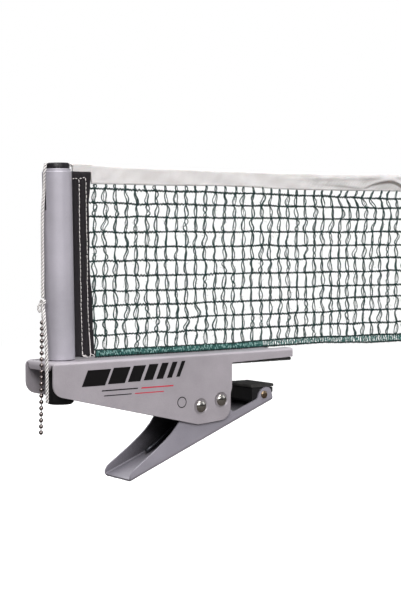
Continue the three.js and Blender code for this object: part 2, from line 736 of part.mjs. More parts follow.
function tensionCord() {
  const lobes = KNOT_LOBES.map(({ radius, segments, stretch, centre }) => {
    const lobe = new THREE.SphereGeometry(radius, ...segments);
    lobe.scale(...stretch);
    lobe.translate(...centre);
    return toSolid(lobe);
  });
  return toGeometry(join(
    toSolid(sweep(smoothCurve(CORD_ABOVE_KNOT), CORD_R, 7, 34)),
    toSolid(sweep(smoothCurve(CORD_BELOW_KNOT), CORD_R, 7, 22)),
    ...lobes,
    toSolid(sweep(smoothCurve(CHAIN_LOOP), 0.9, 6, 4)),
  ));
}

// ---------------------------------------------------------------- ball chain
// One length of beads on a wire link, from bead number first up to, not including, end.
// The chain leans outwards a little towards its lower end.
function ballChain(first, end) {
  const WIRE_R = 0.45;
  const slope = 0.075 / BEAD_PITCH;
  const slant = new THREE.Matrix4().set(
    1, 0, slope, -CHAIN.z * slope,
    0, 1, 0, 0,
    0, 0, 1, 0,
    0, 0, 0, 1,
  );
  const beadZ = (i) => CHAIN.z - i * BEAD_PITCH;
  const beads = [];
  for (let i = first; i < end; i++) {
    const bead = new THREE.SphereGeometry(BEAD_R, 9, 6);
    bead.rotateX(Math.PI / 2);
    bead.translate(CHAIN.x, CHAIN.y, beadZ(i));
    bead.applyMatrix4(slant);
    beads.push(toSolid(bead));
  }
  const wireTop = beadZ(first) + BEAD_R + (first === 0 ? 0.7 : 0.58);
  const wireBottom = beadZ(end - 1) - BEAD_R - 0.45;
  const wire = latheZ(rod(WIRE_R, wireBottom, wireTop), CHAIN.x, 6);
  wire.translate(0, CHAIN.y, 0);
  wire.applyMatrix4(slant);
  return toGeometry(join(...beads, toSolid(wire)));
}

// ---------------------------------------------------------------- assembly
const root = new THREE.Group();
root.name = 'table_tennis_net_clamp';

function addPart(name, geometry, finish) {
  geometry.translate(0, 0, -PAD_FACE);
  geometry.scale(FULL_SIZE, FULL_SIZE, FULL_SIZE);
  const mesh = new THREE.Mesh(geometry, new THREE.MeshStandardMaterial(finish));
  mesh.name = name;
  root.add(mesh);
}

addPart('clamp_frame', clampFrame(), FINISH.paint);
addPart('upper_jaw_pad', upperJawPad(), FINISH.rubber);

addPart('post_tube', postTube(), FINISH.paint);
addPart('post_cap', postCap(), FINISH.blackPlastic);
addPart('post_foot', postFoot(), FINISH.blackPlastic);
addPart('post_plug', postPlug(), FINISH.steel);
addPart('post_screw', postScrew(), FINISH.steel);
addPart('post_washer', postWasher(), FINISH.steel);

addPart('pivot_rivet', rivet(PIVOT), FINISH.chrome);
addPart('stop_rivet', rivet(STOP), FINISH.chrome);
addPart('pivot_bush', rivetSleeve(PIVOT), FINISH.steel);
addPart('stop_spacer', rivetSleeve(STOP), FINISH.steel);

addPart('clamp_lever', clampLever(), FINISH.paint);
addPart('jaw_pin', jawPin(), FINISH.brass);
addPart('lower_jaw_shoe', lowerJawShoe(), FINISH.blackPlastic);
addPart('lower_jaw_pad', lowerJawPad(), FINISH.rubber);
addPart('torsion_spring', torsionSpring(), FINISH.steel);

addPart('net_sleeve', netSleeve(), FINISH.darkBand);
addPart('net_rod', netRod(), FINISH.steel);
addPart('net_mesh', netMesh(), FINISH.greenNet);
addPart('net_hem', netHem(), FINISH.greenNet);
addPart('net_tape', netTape(), FINISH.whiteCloth);

addPart('tension_cord', tensionCord(), FINISH.whiteCloth);
addPart('ball_chain_upper', ballChain(0, 6), FINISH.chrome);
addPart('ball_chain_middle', ballChain(6, 12), FINISH.chrome);
addPart('ball_chain_lower', ballChain(12, 19), FINISH.chrome);

export default root;
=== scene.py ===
import json
import math

import bpy
import numpy as np
from mathutils import Matrix, Vector
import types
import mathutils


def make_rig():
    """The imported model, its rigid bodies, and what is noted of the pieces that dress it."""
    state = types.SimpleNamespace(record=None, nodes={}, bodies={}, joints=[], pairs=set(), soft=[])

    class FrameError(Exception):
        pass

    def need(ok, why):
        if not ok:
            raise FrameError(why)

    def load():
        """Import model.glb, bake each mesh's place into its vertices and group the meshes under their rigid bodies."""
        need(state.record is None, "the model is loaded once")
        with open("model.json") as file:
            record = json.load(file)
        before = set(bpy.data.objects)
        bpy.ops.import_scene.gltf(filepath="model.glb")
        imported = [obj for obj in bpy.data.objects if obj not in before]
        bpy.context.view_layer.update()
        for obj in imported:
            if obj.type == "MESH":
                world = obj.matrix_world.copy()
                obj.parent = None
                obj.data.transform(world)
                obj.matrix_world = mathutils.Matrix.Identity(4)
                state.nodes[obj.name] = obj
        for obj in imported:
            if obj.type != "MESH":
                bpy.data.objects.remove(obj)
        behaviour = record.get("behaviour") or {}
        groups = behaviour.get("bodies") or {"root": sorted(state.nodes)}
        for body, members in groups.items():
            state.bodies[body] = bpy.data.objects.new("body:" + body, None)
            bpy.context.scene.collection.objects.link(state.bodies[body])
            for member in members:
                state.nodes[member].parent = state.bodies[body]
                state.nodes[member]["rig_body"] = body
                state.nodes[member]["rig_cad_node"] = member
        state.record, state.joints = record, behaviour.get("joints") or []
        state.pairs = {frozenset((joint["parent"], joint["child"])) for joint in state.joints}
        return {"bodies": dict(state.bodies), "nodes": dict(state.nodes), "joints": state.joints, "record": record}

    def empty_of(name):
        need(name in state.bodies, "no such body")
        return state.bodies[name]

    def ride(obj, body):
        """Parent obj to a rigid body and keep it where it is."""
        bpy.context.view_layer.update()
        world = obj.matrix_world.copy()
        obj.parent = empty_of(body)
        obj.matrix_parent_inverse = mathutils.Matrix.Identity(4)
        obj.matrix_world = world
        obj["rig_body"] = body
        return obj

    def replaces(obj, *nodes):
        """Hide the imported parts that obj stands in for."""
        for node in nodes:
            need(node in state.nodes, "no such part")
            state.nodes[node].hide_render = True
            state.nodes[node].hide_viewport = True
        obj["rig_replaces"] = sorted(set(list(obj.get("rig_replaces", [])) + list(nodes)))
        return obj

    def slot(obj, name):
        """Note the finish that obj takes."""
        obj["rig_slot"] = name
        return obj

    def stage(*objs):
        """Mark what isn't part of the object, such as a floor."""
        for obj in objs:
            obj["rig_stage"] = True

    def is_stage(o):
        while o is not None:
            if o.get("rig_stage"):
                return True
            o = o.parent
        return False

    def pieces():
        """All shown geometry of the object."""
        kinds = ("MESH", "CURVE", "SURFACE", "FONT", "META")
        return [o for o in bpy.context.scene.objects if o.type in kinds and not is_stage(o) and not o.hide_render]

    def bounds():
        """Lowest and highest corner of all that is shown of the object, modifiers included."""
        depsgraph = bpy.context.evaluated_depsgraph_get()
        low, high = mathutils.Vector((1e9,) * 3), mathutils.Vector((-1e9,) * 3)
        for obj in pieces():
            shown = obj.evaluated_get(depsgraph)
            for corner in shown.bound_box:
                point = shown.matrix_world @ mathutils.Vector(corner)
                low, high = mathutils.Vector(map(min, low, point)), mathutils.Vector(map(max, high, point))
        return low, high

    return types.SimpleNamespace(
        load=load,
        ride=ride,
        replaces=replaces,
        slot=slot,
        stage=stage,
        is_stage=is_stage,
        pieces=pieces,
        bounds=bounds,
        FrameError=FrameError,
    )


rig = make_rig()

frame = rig.load()
cad_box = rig.bounds()
nodes = frame["nodes"]

MM = 0.001
PAD_FACE = 2.4     # layout height that comes down to world Z = 0
FULL_SIZE = 1.016  # layout to full size

# places in the XZ plane, and the cheeks' outer faces
PIVOT = (-10.4, -24.4)
STOP = (-29.5, -27.9)
JAW_PIN = (33.1, -23.3)
CHEEK_Y = 20.0

NEAR, FAR = -1, 1
SIDES = (NEAR, FAR)


def to_world(points):
    return (np.asarray(points, float) - np.array([0.0, 0.0, PAD_FACE])) * FULL_SIZE * MM


def as_list(box):
    numbers = []
    for corner in box:
        # the box may hold corners or plain numbers
        try:
            numbers.append([float(v) for v in corner])
        except TypeError:
            numbers.append(float(corner))
    return numbers


# ------------------------------------------------------------------ paths and noise
def frames_along(path):
    """Parallel-transport frames of a polyline: normals and binormals."""
    tangents = np.gradient(path, axis=0)
    tangents /= np.linalg.norm(tangents, axis=1)[:, None] + 1e-12
    normals = np.zeros_like(path)
    first = tangents[0]
    reference = np.array([0.0, 0.0, 1.0]) if abs(first[2]) < 0.9 else np.array([1.0, 0.0, 0.0])
    normals[0] = np.cross(first, np.cross(reference, first))
    normals[0] /= np.linalg.norm(normals[0])
    for i in range(1, len(path)):
        carried = normals[i - 1] - tangents[i] * (normals[i - 1] @ tangents[i])
        normals[i] = carried / (np.linalg.norm(carried) + 1e-12)
    return normals, np.cross(tangents, normals)


def catmull(points, steps):
    """Catmull-Rom curve through the points, with this many steps between neighbours."""
    p = np.asarray(points, float)
    padded = np.vstack([2 * p[0] - p[1], p, 2 * p[-1] - p[-2]])
    curve = []
    for p0, p1, p2, p3 in zip(padded, padded[1:], padded[2:], padded[3:]):
        for k in range(steps):
            u = k / steps
            curve.append(0.5 * ((2 * p1) + (-p0 + p2) * u
                                + (2 * p0 - 5 * p1 + 4 * p2 - p3) * u * u
                                + (-p0 + 3 * p1 - 3 * p2 + p3) * u ** 3))
    curve.append(p[-1])
    return np.array(curve)


def resample(path, step):
    """The path in even steps, and the distance of each point along it."""
    path = np.asarray(path, float)
    lengths = np.linalg.norm(np.diff(path, axis=0), axis=1)
    travelled = np.concatenate([[0], np.cumsum(lengths)])
    count = max(2, int(round(travelled[-1] / step)) + 1)
    stations = np.linspace(0, travelled[-1], count)
    return along(stations, travelled, path), stations


def along(stations, travelled, path):
    return np.stack([np.interp(stations, travelled, path[:, k]) for k in range(3)], axis=1)


def smooth_curve(points, steps, step):
    return resample(catmull(points, steps), step)[0]


def smooth_noise(gen, count, length, scale, amount):
    """1-D smooth noise over length mm with features of about scale mm."""
    knots = max(4, int(length / scale) + 3)
    values = gen.normal(size=knots) * amount
    x = np.linspace(0, knots - 1.001, count)
    i = np.floor(x).astype(int)
    u = x - i
    u = u * u * (3 - 2 * u)
    return values[i] * (1 - u) + values[np.minimum(i + 1, knots - 1)] * u


# ------------------------------------------------------------------ mesh tools
def mesh_object(name, verts, faces, material, smooth=True, cavity=None):
    """A mesh from layout points. Cavity is a brightness or depth for each vertex."""
    mesh = bpy.data.meshes.new(name)
    mesh.from_pydata([tuple(p) for p in to_world(verts)], [],
                     [tuple(int(i) for i in face) for face in faces])
    mesh.validate()
    if smooth:
        mesh.polygons.foreach_set("use_smooth", np.ones(len(mesh.polygons), bool))
    if cavity is not None:
        layer = mesh.attributes.new("cavity", "FLOAT", "POINT")
        layer.data.foreach_set("value", np.asarray(cavity, np.float32))
    mesh.update()
    o = bpy.data.objects.new(name, mesh)
    bpy.context.scene.collection.objects.link(o)
    mesh.materials.append(material)
    return o


def attach(o, slot, body="clamp_body", replaces=None):
    """Tell the frame which body carries the piece, what it stands in for and its slot."""
    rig.ride(o, body)
    if replaces:
        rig.replaces(o, replaces)
    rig.slot(o, slot)


def add_film(o, thickness):
    solidify = o.modifiers.new("film" if thickness < 0.1 else "thickness", "SOLIDIFY")
    solidify.thickness = thickness * MM
    solidify.offset = 0


def ring_faces(rings, size, caps=True):
    """Faces of a closed skin over a row of rings of vertices."""
    index = np.arange(rings * size).reshape(rings, size)
    after = np.roll(index, -1, axis=1)
    corners = [index[:-1], after[:-1], after[1:], index[1:]]
    faces = np.stack(corners, axis=-1).reshape(-1, 4).tolist()
    if caps:
        faces.append(index[0].tolist()[::-1])
        faces.append(index[-1].tolist())
    return faces


def cloth_section(count):
    """(u, side) round a flat section: out over the near face, back over the far one."""
    us = [k / (count - 1) for k in range(count)]
    return [(u, NEAR) for u in us] + [(1 - u, FAR) for u in us]


class TubeMesh:
    """Collects many tubes into one mesh. Each vertex keeps how deep it lies in its cord:
    0 at the core, 1 outside."""

    def __init__(self):
        self.verts = []
        self.faces = []
        self.depth = []
        self.count = 0

    def add(self, verts, faces, depth=None):
        self.verts.append(np.asarray(verts, float))
        self.depth.append(np.ones(len(verts)) if depth is None else depth)
        self.faces.extend([[i + self.count for i in face] for face in faces])
        self.count += len(verts)

    def tube(self, path, radius, sides=6, caps=True, core=None, offset=None):
        """A tube along the path. In a twisted cord, core is the cord's centre line."""
        path = np.asarray(path, float)
        rings = len(path)
        normals, binormals = frames_along(path)
        radius = np.broadcast_to(np.asarray(radius, float), (rings,))
        angle = np.arange(sides) * 2 * np.pi / sides
        spokes = (np.cos(angle)[None, :, None] * normals[:, None, :]
                  + np.sin(angle)[None, :, None] * binormals[:, None, :])
        verts = path[:, None, :] + spokes * radius[:, None, None]
        depth = None
        if core is not None:
            distance = np.linalg.norm(verts - core[:, None, :], axis=2)
            low = np.maximum(offset - radius, 0.0)
            high = offset + radius
            depth = (distance - low[:, None]) / (high - low + 1e-9)[:, None]
            depth = np.clip(depth, 0, 1).ravel()
        self.add(verts.reshape(-1, 3), ring_faces(rings, sides, caps), depth)

    def twist(self, path, radius, offset, pitch, strands, sides, phase=0.0, jitter=0.0,
              gen=None):
        """Strands wound round the path, unevenly if jitter and a generator are given."""
        path = np.asarray(path, float)
        normals, binormals = frames_along(path)
        steps = np.linalg.norm(np.diff(path, axis=0), axis=1)
        travelled = np.concatenate([[0], np.cumsum(steps)])
        count, length = len(path), travelled[-1]
        for k in range(strands):
            turn = 2 * np.pi * travelled / pitch
            reach = np.full(count, float(offset))
            if gen is not None:
                turn = turn + smooth_noise(gen, count, length, pitch * 1.5, jitter * 1.6)
                reach = reach * (1 + smooth_noise(gen, count, length, pitch, jitter))
            angle = turn + 2 * np.pi * k / strands + phase
            spoke = np.cos(angle)[:, None] * normals + np.sin(angle)[:, None] * binormals
            self.tube(path + spoke * reach[:, None], radius, sides, core=path, offset=reach)

    def object(self, name, material):
        return mesh_object(name, np.concatenate(self.verts), self.faces, material,
                           cavity=np.concatenate(self.depth))


def lathe_across(name, place, profile, segments, material):
    """Revolve a profile [(radius, y)], closed at both ends, about a Y axis at place (x, z)."""
    verts, faces, rows = [], [], []
    for radius, y in profile:
        count = 1 if radius < 1e-9 else segments
        rows.append(range(len(verts), len(verts) + count))
        for k in range(count):
            angle = 2 * np.pi * k / segments
            verts.append((radius * np.cos(angle), y, radius * np.sin(angle)))
    for a, b in zip(rows[:-1], rows[1:]):
        for k in range(segments):
            k2 = (k + 1) % segments
            if len(a) == 1:
                faces.append((b[k], b[k2], a[0]))
            elif len(b) == 1:
                faces.append((b[0], a[k2], a[k]))
            else:
                faces.append((b[k], b[k2], a[k2], a[k]))
    verts = np.array(verts) + np.array([place[0], 0.0, place[1]])
    return mesh_object(name, verts, faces, material)


# ------------------------------------------------------------------ node graphs
class Graph:
    """A node tree with shorthand for its nodes."""

    def __init__(self, tree):
        self.tree = tree
        tree.nodes.clear()

    def feed(self, socket, value):
        """Link a socket, or set its value. Colours are given as RGB."""
        if isinstance(value, bpy.types.NodeSocket):
            self.tree.links.new(value, socket)
        elif socket.type == "RGBA":
            socket.default_value = (*value, 1.0)
        else:
            socket.default_value = value

    def node(self, kind, inputs=None, **settings):
        node = self.tree.nodes.new("ShaderNode" + kind)
        for key, value in settings.items():
            setattr(node, key, value)
        for key, value in (inputs or {}).items():
            self.feed(node.inputs[key], value)
        return node

    def ramp(self, value, stops):
        """Colour ramp from stops of (position, RGB)."""
        node = self.node("ValToRGB", {"Fac": value})
        elements = node.color_ramp.elements
        while len(elements) < len(stops):
            elements.new(0.5)
        for element, (position, color) in zip(elements, stops):
            element.position = position
            element.color = (*color, 1.0)
        return node.outputs["Color"]

    def remap(self, value, low, high, to_low=0.0, to_high=1.0):
        node = self.node("MapRange", {
            "Value": value, "From Min": low, "From Max": high,
            "To Min": to_low, "To Max": to_high})
        return node.outputs["Result"]

    def mix_shader(self, factor, first, second):
        return self.node("MixShader", {"Fac": factor, 1: first, 2: second}).outputs[0]


class Material(Graph):
    """A material with a Principled shader, textured in object coordinates."""

    def __init__(self, name):
        self.data = bpy.data.materials.new(name)
        self.data.use_nodes = True
        super().__init__(self.data.node_tree)
        self.principled = self.node("BsdfPrincipled")
        self.output = self.node("OutputMaterial", {"Surface": self.principled.outputs["BSDF"]})
        self.place = self.node("TexCoord").outputs["Object"]

    def set(self, **inputs):
        for key, value in inputs.items():
            self.feed(self.principled.inputs[key.replace("_", " ")], value)

    def noise(self, scale, detail=3.0, roughness=0.55, stretch=None):
        vector = self.place
        if stretch:
            mapping = self.node("Mapping", {"Scale": stretch, "Vector": vector})
            vector = mapping.outputs["Vector"]
        node = self.node("TexNoise", {
            "Scale": scale, "Detail": detail, "Roughness": roughness, "Vector": vector})
        return node.outputs["Fac"]

    def wave(self, direction, scale, distortion, detail=2.0):
        node = self.node("TexWave", {
            "Scale": scale, "Distortion": distortion, "Detail": detail, "Vector": self.place},
            wave_type="BANDS", bands_direction=direction)
        return node.outputs["Fac"]

    def two_tone(self, value, dark, light, low=0.3, high=0.7):
        return self.ramp(value, [(low, dark), (high, light)])

    def math(self, operation, a, b):
        return self.node("Math", {0: a, 1: b}, operation=operation).outputs[0]

    def vector(self, operation, a, b=None):
        inputs = {0: a} if b is None else {0: a, 1: b}
        return self.node("VectorMath", inputs, operation=operation).outputs

    def mix(self, factor, a, b, blend="MIX"):
        # of a Mix node's sockets, 6, 7 and output 2 are the colours
        node = self.node("Mix", data_type="RGBA", blend_type=blend)
        for index, value in ((0, factor), (6, a), (7, b)):
            self.feed(node.inputs[index], value)
        return node.outputs[2]

    def patches(self, body, mask, amount, color):
        """The colour over the body, as strongly as amount where the mask is 1."""
        return self.mix(self.math("MULTIPLY", mask, amount), body, color)

    def dim(self, color, value):
        node = self.node("HueSaturation", {"Color": color, "Value": value})
        return node.outputs["Color"]

    def bump(self, height, strength, distance, normal=None):
        node = self.node("Bump", {
            "Strength": strength, "Distance": distance, "Height": height})
        if normal is not None:
            self.feed(node.inputs["Normal"], normal)
        return node.outputs["Normal"]

    def attribute(self, name):
        return self.node("Attribute", attribute_name=name).outputs["Fac"]

    def light_path(self, output):
        return self.node("LightPath").outputs[output]

    def edge_mask(self, radius):
        """1 on convex edges, from the bevelled normal against the true one."""
        bevel = self.node("Bevel", {"Radius": radius}, samples=6)
        geometry = self.node("NewGeometry")
        dot = self.vector("DOT_PRODUCT", bevel.outputs["Normal"], geometry.outputs["Normal"])
        return self.remap(self.math("SUBTRACT", 1.0, dot["Value"]), low=0.02, high=0.25)


def scaled(color, factor):
    return tuple(min(1, c * factor) for c in color)


# ------------------------------------------------------------------ materials
def paint_material(name, base, dimples=(), channel_shade=False, coat=(0.22, 0.22)):
    """Flecked metallic paint, worn at the edges. Coat is (weight, roughness)."""
    m = Material(name)
    cloud = m.noise(scale=26)
    flecks = m.ramp(m.noise(scale=5200, detail=1.5, roughness=0.6), [
        (0.35, (0.86, 0.86, 0.88)), (0.5, (1, 1, 1)), (0.68, (1.16, 1.15, 1.14))])
    body = m.two_tone(cloud, scaled(base, 0.837), scaled(base, 1.05))
    body = m.mix(0.8, body, flecks, blend="MULTIPLY")
    worn = m.remap(m.noise(scale=420, detail=4, roughness=0.7), low=0.50, high=0.68)
    worn = m.math("MULTIPLY", m.edge_mask(radius=0.0005), worn)
    body = m.patches(body, worn, amount=0.55, color=(0.62, 0.61, 0.6))
    if channel_shade:
        # painted shade: darker deep in the channel, where the ambient occlusion is low
        open_sky = m.node("AmbientOcclusion", {"Distance": 0.055}, samples=8)
        shade = m.remap(open_sky.outputs["AO"], low=0.25, high=0.70, to_low=0.06)
        body = m.dim(body, shade)
    rough = m.remap(m.noise(scale=300), low=0.3, high=0.7, to_low=0.36, to_high=0.47)
    grain = m.noise(scale=1500, detail=2.0, roughness=0.6)
    normal = m.bump(grain, strength=0.10, distance=0.00012)
    normal = m.bump(m.noise(scale=420, detail=2), strength=0.06, distance=0.0003, normal=normal)
    for x, z in dimples:
        # the sheet is drawn in a little round each rivet
        centre = to_world((x, 0, z))
        away = m.vector("SUBTRACT", m.place, (float(centre[0]), 0, float(centre[2])))[0]
        in_plane = m.vector("MULTIPLY", away, (1, 0, 1))[0]
        distance = m.vector("LENGTH", in_plane)["Value"]
        normal = m.bump(m.remap(distance, low=0.0049, high=0.0063),
                        strength=1.0, distance=0.0013, normal=normal)
    m.set(Base_Color=body, Metallic=0.28, IOR=1.5, Roughness=rough, Normal=normal,
          Coat_Weight=coat[0], Coat_Roughness=coat[1])
    return m.data


def metal_material(name, color, rough, scratch, tarnish=None):
    """Bare or plated metal. Rough is its range, scratch the strength of the relief."""
    m = Material(name)
    body = m.two_tone(m.noise(scale=180, detail=4, roughness=0.6), scaled(color, 0.82), color)
    if tarnish:
        mask = m.remap(m.noise(scale=700, detail=4, roughness=0.7), low=0.52, high=0.72)
        body = m.patches(body, mask, amount=0.6, color=tarnish)
    roughness = m.remap(m.noise(scale=900, detail=4, roughness=0.65),
                        low=0.3, high=0.75, to_low=rough[0], to_high=rough[1])
    relief = m.noise(scale=2600, roughness=0.6, stretch=(1, 1, 0.15))
    m.set(Base_Color=body, Metallic=1.0, Roughness=roughness,
          Normal=m.bump(relief, strength=scratch, distance=0.0001))
    return m.data


def plastic_material(name, color, rough=(0.42, 0.58)):
    """Moulded plastic with a pebbled skin and paler edges."""
    m = Material(name)
    body = m.two_tone(m.noise(scale=60), scaled(color, 0.8), scaled(color, 1.25))
    body = m.patches(body, m.edge_mask(radius=0.0004), amount=0.25, color=(0.06, 0.06, 0.064))
    roughness = m.remap(m.noise(scale=500, detail=4, roughness=0.6),
                        low=0.3, high=0.7, to_low=rough[0], to_high=rough[1])
    cells = m.node("TexVoronoi", {"Scale": 2400, "Vector": m.place})
    m.set(Base_Color=body, Roughness=roughness, Specular_IOR_Level=0.35,
          Normal=m.bump(cells.outputs["Distance"], strength=0.12, distance=0.00015))
    return m.data


def rubber_material(name):
    m = Material(name)
    body = m.two_tone(m.noise(scale=150, detail=4, roughness=0.6),
                      (0.012, 0.012, 0.012), (0.035, 0.034, 0.033))
    dust_and_shade = m.remap(m.noise(scale=800, detail=5, roughness=0.75), low=0.58, high=0.8)
    body = m.patches(body, dust_and_shade, amount=0.35, color=(0.12, 0.11, 0.10))
    roughness = m.remap(m.noise(scale=500), low=0.3, high=0.7, to_low=0.68, to_high=0.88)
    relief = m.noise(scale=3800, roughness=0.6)
    m.set(Base_Color=body, Roughness=roughness,
          Normal=m.bump(relief, strength=0.25, distance=0.00015))
    return m.data


def thread_material(name, dark, light, scale, bump=0.5, sheen=0.12, cavity=0.35,
                    depths=(0.42, 0.90)):
    """Fibrous thread, with painted shade in the grooves: brightness falls to cavity between the depths, towards the
    core.
    """
    m = Material(name)
    fine = m.noise(scale=scale, roughness=0.7)
    middle = tuple((a + b) / 2 for a, b in zip(dark, light))
    body = m.two_tone(m.noise(scale=90), dark, middle, high=0.75)
    body = m.patches(body, m.remap(fine, low=0.45, high=0.75), amount=0.75, color=light)
    # painted shade: darker towards the core of each cord, in the grooves between its strands
    shade = m.remap(m.attribute("cavity"), low=depths[0], high=depths[1], to_low=cavity)
    m.set(Base_Color=m.dim(body, shade),
          Roughness=m.remap(fine, low=0.3, high=0.7, to_low=0.72, to_high=0.95),
          Normal=m.bump(fine, strength=bump, distance=0.00025),
          Specular_IOR_Level=0.3, Sheen_Weight=sheen, Sheen_Roughness=0.5)
    return m.data


def band_material():
    """Black weave: fine ribs that run up the band, and a much finer weft across them."""
    m = Material("black_woven_band")
    ribs = m.wave("X", scale=330, distortion=0.6, detail=1.0)
    weft = m.wave("Z", scale=700, distortion=1.2)
    lint = m.remap(m.noise(scale=2200, detail=4, roughness=0.7), low=0.6, high=0.8)
    body = m.two_tone(ribs, (0.004, 0.003, 0.0045), (0.015, 0.012, 0.016), low=0.2, high=0.8)
    body = m.patches(body, lint, amount=0.25, color=(0.10, 0.09, 0.10))
    rib_share, weft_share = 1.0, 0.35
    height = m.math("ADD", m.math("MULTIPLY", ribs, rib_share),
                    m.math("MULTIPLY", weft, weft_share))
    m.set(Base_Color=body, Roughness=0.86, Specular_IOR_Level=0.25, Sheen_Weight=0.06,
          Normal=m.bump(height, strength=0.5, distance=0.00035))
    return m.data


def tape_material():
    """White cotton weave, dimmed by the painted fold shade held in the mesh's cavity values."""
    m = Material("white_cotton_tape")
    across, upright = (m.wave(axis, scale=620, distortion=1.5, detail=1.5) for axis in "XZ")
    weave = m.math("MULTIPLY", across, upright)
    body = m.two_tone(m.noise(scale=38, detail=4, roughness=0.6),
                      (0.56, 0.538, 0.538), (0.695, 0.68, 0.68))
    gaps = m.remap(weave, low=0.0, high=0.5, to_low=0.25, to_high=0.0)
    body = m.mix(gaps, body, (0.36, 0.34, 0.335))
    normal = m.bump(weave, strength=0.35, distance=0.0002)
    normal = m.bump(m.noise(scale=240, detail=5, roughness=0.6),
                    strength=0.25, distance=0.0006, normal=normal)
    # painted shade along the folds darkens the base colour
    m.set(Base_Color=m.dim(body, m.attribute("cavity")), Roughness=0.92, Normal=normal,
          Sheen_Weight=0.25, Subsurface_Weight=0.05)
    return m.data


def print_material(name, color, specular=0.5):
    m = Material(name)
    body = m.two_tone(m.noise(scale=900), scaled(color, 0.85), scaled(color, 1.2))
    roughness = m.remap(m.noise(scale=400), low=0.3, high=0.7, to_low=0.3, to_high=0.42)
    m.set(Base_Color=body, Roughness=roughness, Specular_IOR_Level=specular,
          Normal=m.bump(m.noise(scale=1500, detail=2), strength=0.06, distance=0.0001))
    return m.data


PAINT = paint_material("silver_grey_paint", base=(0.425, 0.408, 0.46))
FRAME_PAINT = paint_material("silver_grey_paint_frame", base=(0.418, 0.388, 0.422),
                             dimples=(PIVOT, STOP), coat=(0.36, 0.14))
# the lever takes the same paint with a darker base colour, as painted shade
LEVER_PAINT = paint_material("silver_grey_paint_lever_shaded", base=(0.335, 0.32, 0.37), channel_shade=True)
CHROME = metal_material("plated_rivet", (0.62, 0.60, 0.57), rough=(0.07, 0.16), scratch=0.05,
                        tarnish=(0.25, 0.22, 0.19))
NICKEL = metal_material("nickel_beads", (0.34, 0.295, 0.29), rough=(0.08, 0.18), scratch=0.04,
                        tarnish=(0.12, 0.09, 0.085))
ZINC = metal_material("zinc_steel", (0.48, 0.48, 0.49), rough=(0.26, 0.45), scratch=0.08)
SPRING = metal_material("spring_steel", (0.10, 0.105, 0.12), rough=(0.3, 0.5), scratch=0.1)
BRASS = metal_material("yellow_zinc_pin", (0.36, 0.27, 0.18), rough=(0.22, 0.42),
                       scratch=0.08, tarnish=(0.10, 0.07, 0.055))
BLACK = plastic_material("black_moulded_plastic", (0.0065, 0.0065, 0.0075))
CAP_BLACK = plastic_material("black_cap_plastic", (0.008, 0.0075, 0.010), rough=(0.30, 0.48))
RUBBER = rubber_material("jaw_rubber")
NET_ROW = thread_material("net_cord_row", (0.002, 0.0125, 0.0115), (0.008, 0.038, 0.035),
                          scale=2400, sheen=0.05)
NET_COLUMN = thread_material("net_cord_column", (0.005, 0.023, 0.021), (0.036, 0.082, 0.075),
                             scale=2600, sheen=0.15, cavity=0.6)
HEM_BASE = thread_material("hem_base", (0.002, 0.014, 0.013), (0.008, 0.042, 0.038),
                           scale=1500)
HEM_LOOP = thread_material("hem_loop", (0.008, 0.060, 0.054), (0.050, 0.19, 0.17),
                           scale=1300, cavity=0.5)
HEM_LIGHT = thread_material("hem_light_thread", (0.16, 0.36, 0.33), (0.52, 0.70, 0.67),
                            scale=2000)
STITCH = thread_material("white_stitch", (0.60, 0.56, 0.56), (0.86, 0.83, 0.81), scale=3000)
# the cord's low cavity value paints deep shade into the grooves of its twist
CORD = thread_material("white_twisted_cord", (0.62, 0.595, 0.59), (0.92, 0.90, 0.89),
                       scale=3200, bump=0.35, cavity=0.03, depths=(0.64, 0.965))
BAND = band_material()
TAPE = tape_material()
INK = print_material("dark_screen_print", (0.005, 0.0045, 0.005), specular=0.25)
RED = print_material("red_screen_print", (0.48, 0.02, 0.045))

# ------------------------------------------------------------------ CAD pieces kept as they are
# name, material, width of the rounded edges, slot
CAD_PIECES = (
    ("clamp_frame", FRAME_PAINT, 0.28, "paint"),
    ("clamp_lever", LEVER_PAINT, 0.28, "paint"),
    ("post_tube", PAINT, 0.25, "paint"),
    ("upper_jaw_pad", RUBBER, 0.25, "rubber"),
    ("lower_jaw_pad", RUBBER, 0.2, "rubber"),
    ("lower_jaw_shoe", BLACK, 0.35, "black_plastic"),
    ("post_foot", BLACK, 0.3, "black_plastic"),
    ("post_plug", ZINC, 0.15, "steel"),
    ("post_screw", ZINC, 0.12, "steel"),
    ("post_washer", ZINC, 0.1, "steel"),
    ("pivot_bush", ZINC, 0.15, "steel"),
    ("stop_spacer", ZINC, 0.15, "steel"),
    ("net_rod", ZINC, 0.15, "steel"),
    ("post_cap", CAP_BLACK, 0.25, "black_plastic"),
)


def shade_smooth(o):
    o.data.polygons.foreach_set("use_smooth", np.ones(len(o.data.polygons), bool))
    bpy.context.view_layer.objects.active = o
    for other in bpy.context.selected_objects:
        other.select_set(False)
    o.select_set(True)
    # the operator refuses an object that can't be edited in this context
    try:
        bpy.ops.mesh.customdata_custom_splitnormals_clear()
    except RuntimeError:
        pass


def finish_cad(name, material, edge_width, slot):
    """Keep a CAD mesh, and clean it and round its edges by modifiers."""
    o = nodes[name]
    shade_smooth(o)
    weld = o.modifiers.new("weld", "WELD")
    weld.merge_threshold = 2e-6
    planar = o.modifiers.new("planar", "DECIMATE")
    planar.decimate_type = "DISSOLVE"
    planar.angle_limit = math.radians(0.6)
    edges = o.modifiers.new("edges", "BEVEL")
    edges.width = edge_width * MM
    edges.segments = 2
    edges.limit_method = "ANGLE"
    edges.angle_limit = math.radians(32)
    edges.harden_normals = True
    edges.use_clamp_overlap = True
    normals = o.modifiers.new("normals", "WEIGHTED_NORMAL")
    normals.keep_sharp = False
    normals.weight = 80
    o.data.materials.clear()
    o.data.materials.append(material)
    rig.slot(o, slot)


# ------------------------------------------------------------------ rivets and jaw pin
JAW_PIN_HALF = 17.8  # from the net's plane to the faces under its heads
DOME_STEPS = 12
HEAD_RADIUS, DOME_RISE, DOME_BASE = 4.5, 1.8, 0.45

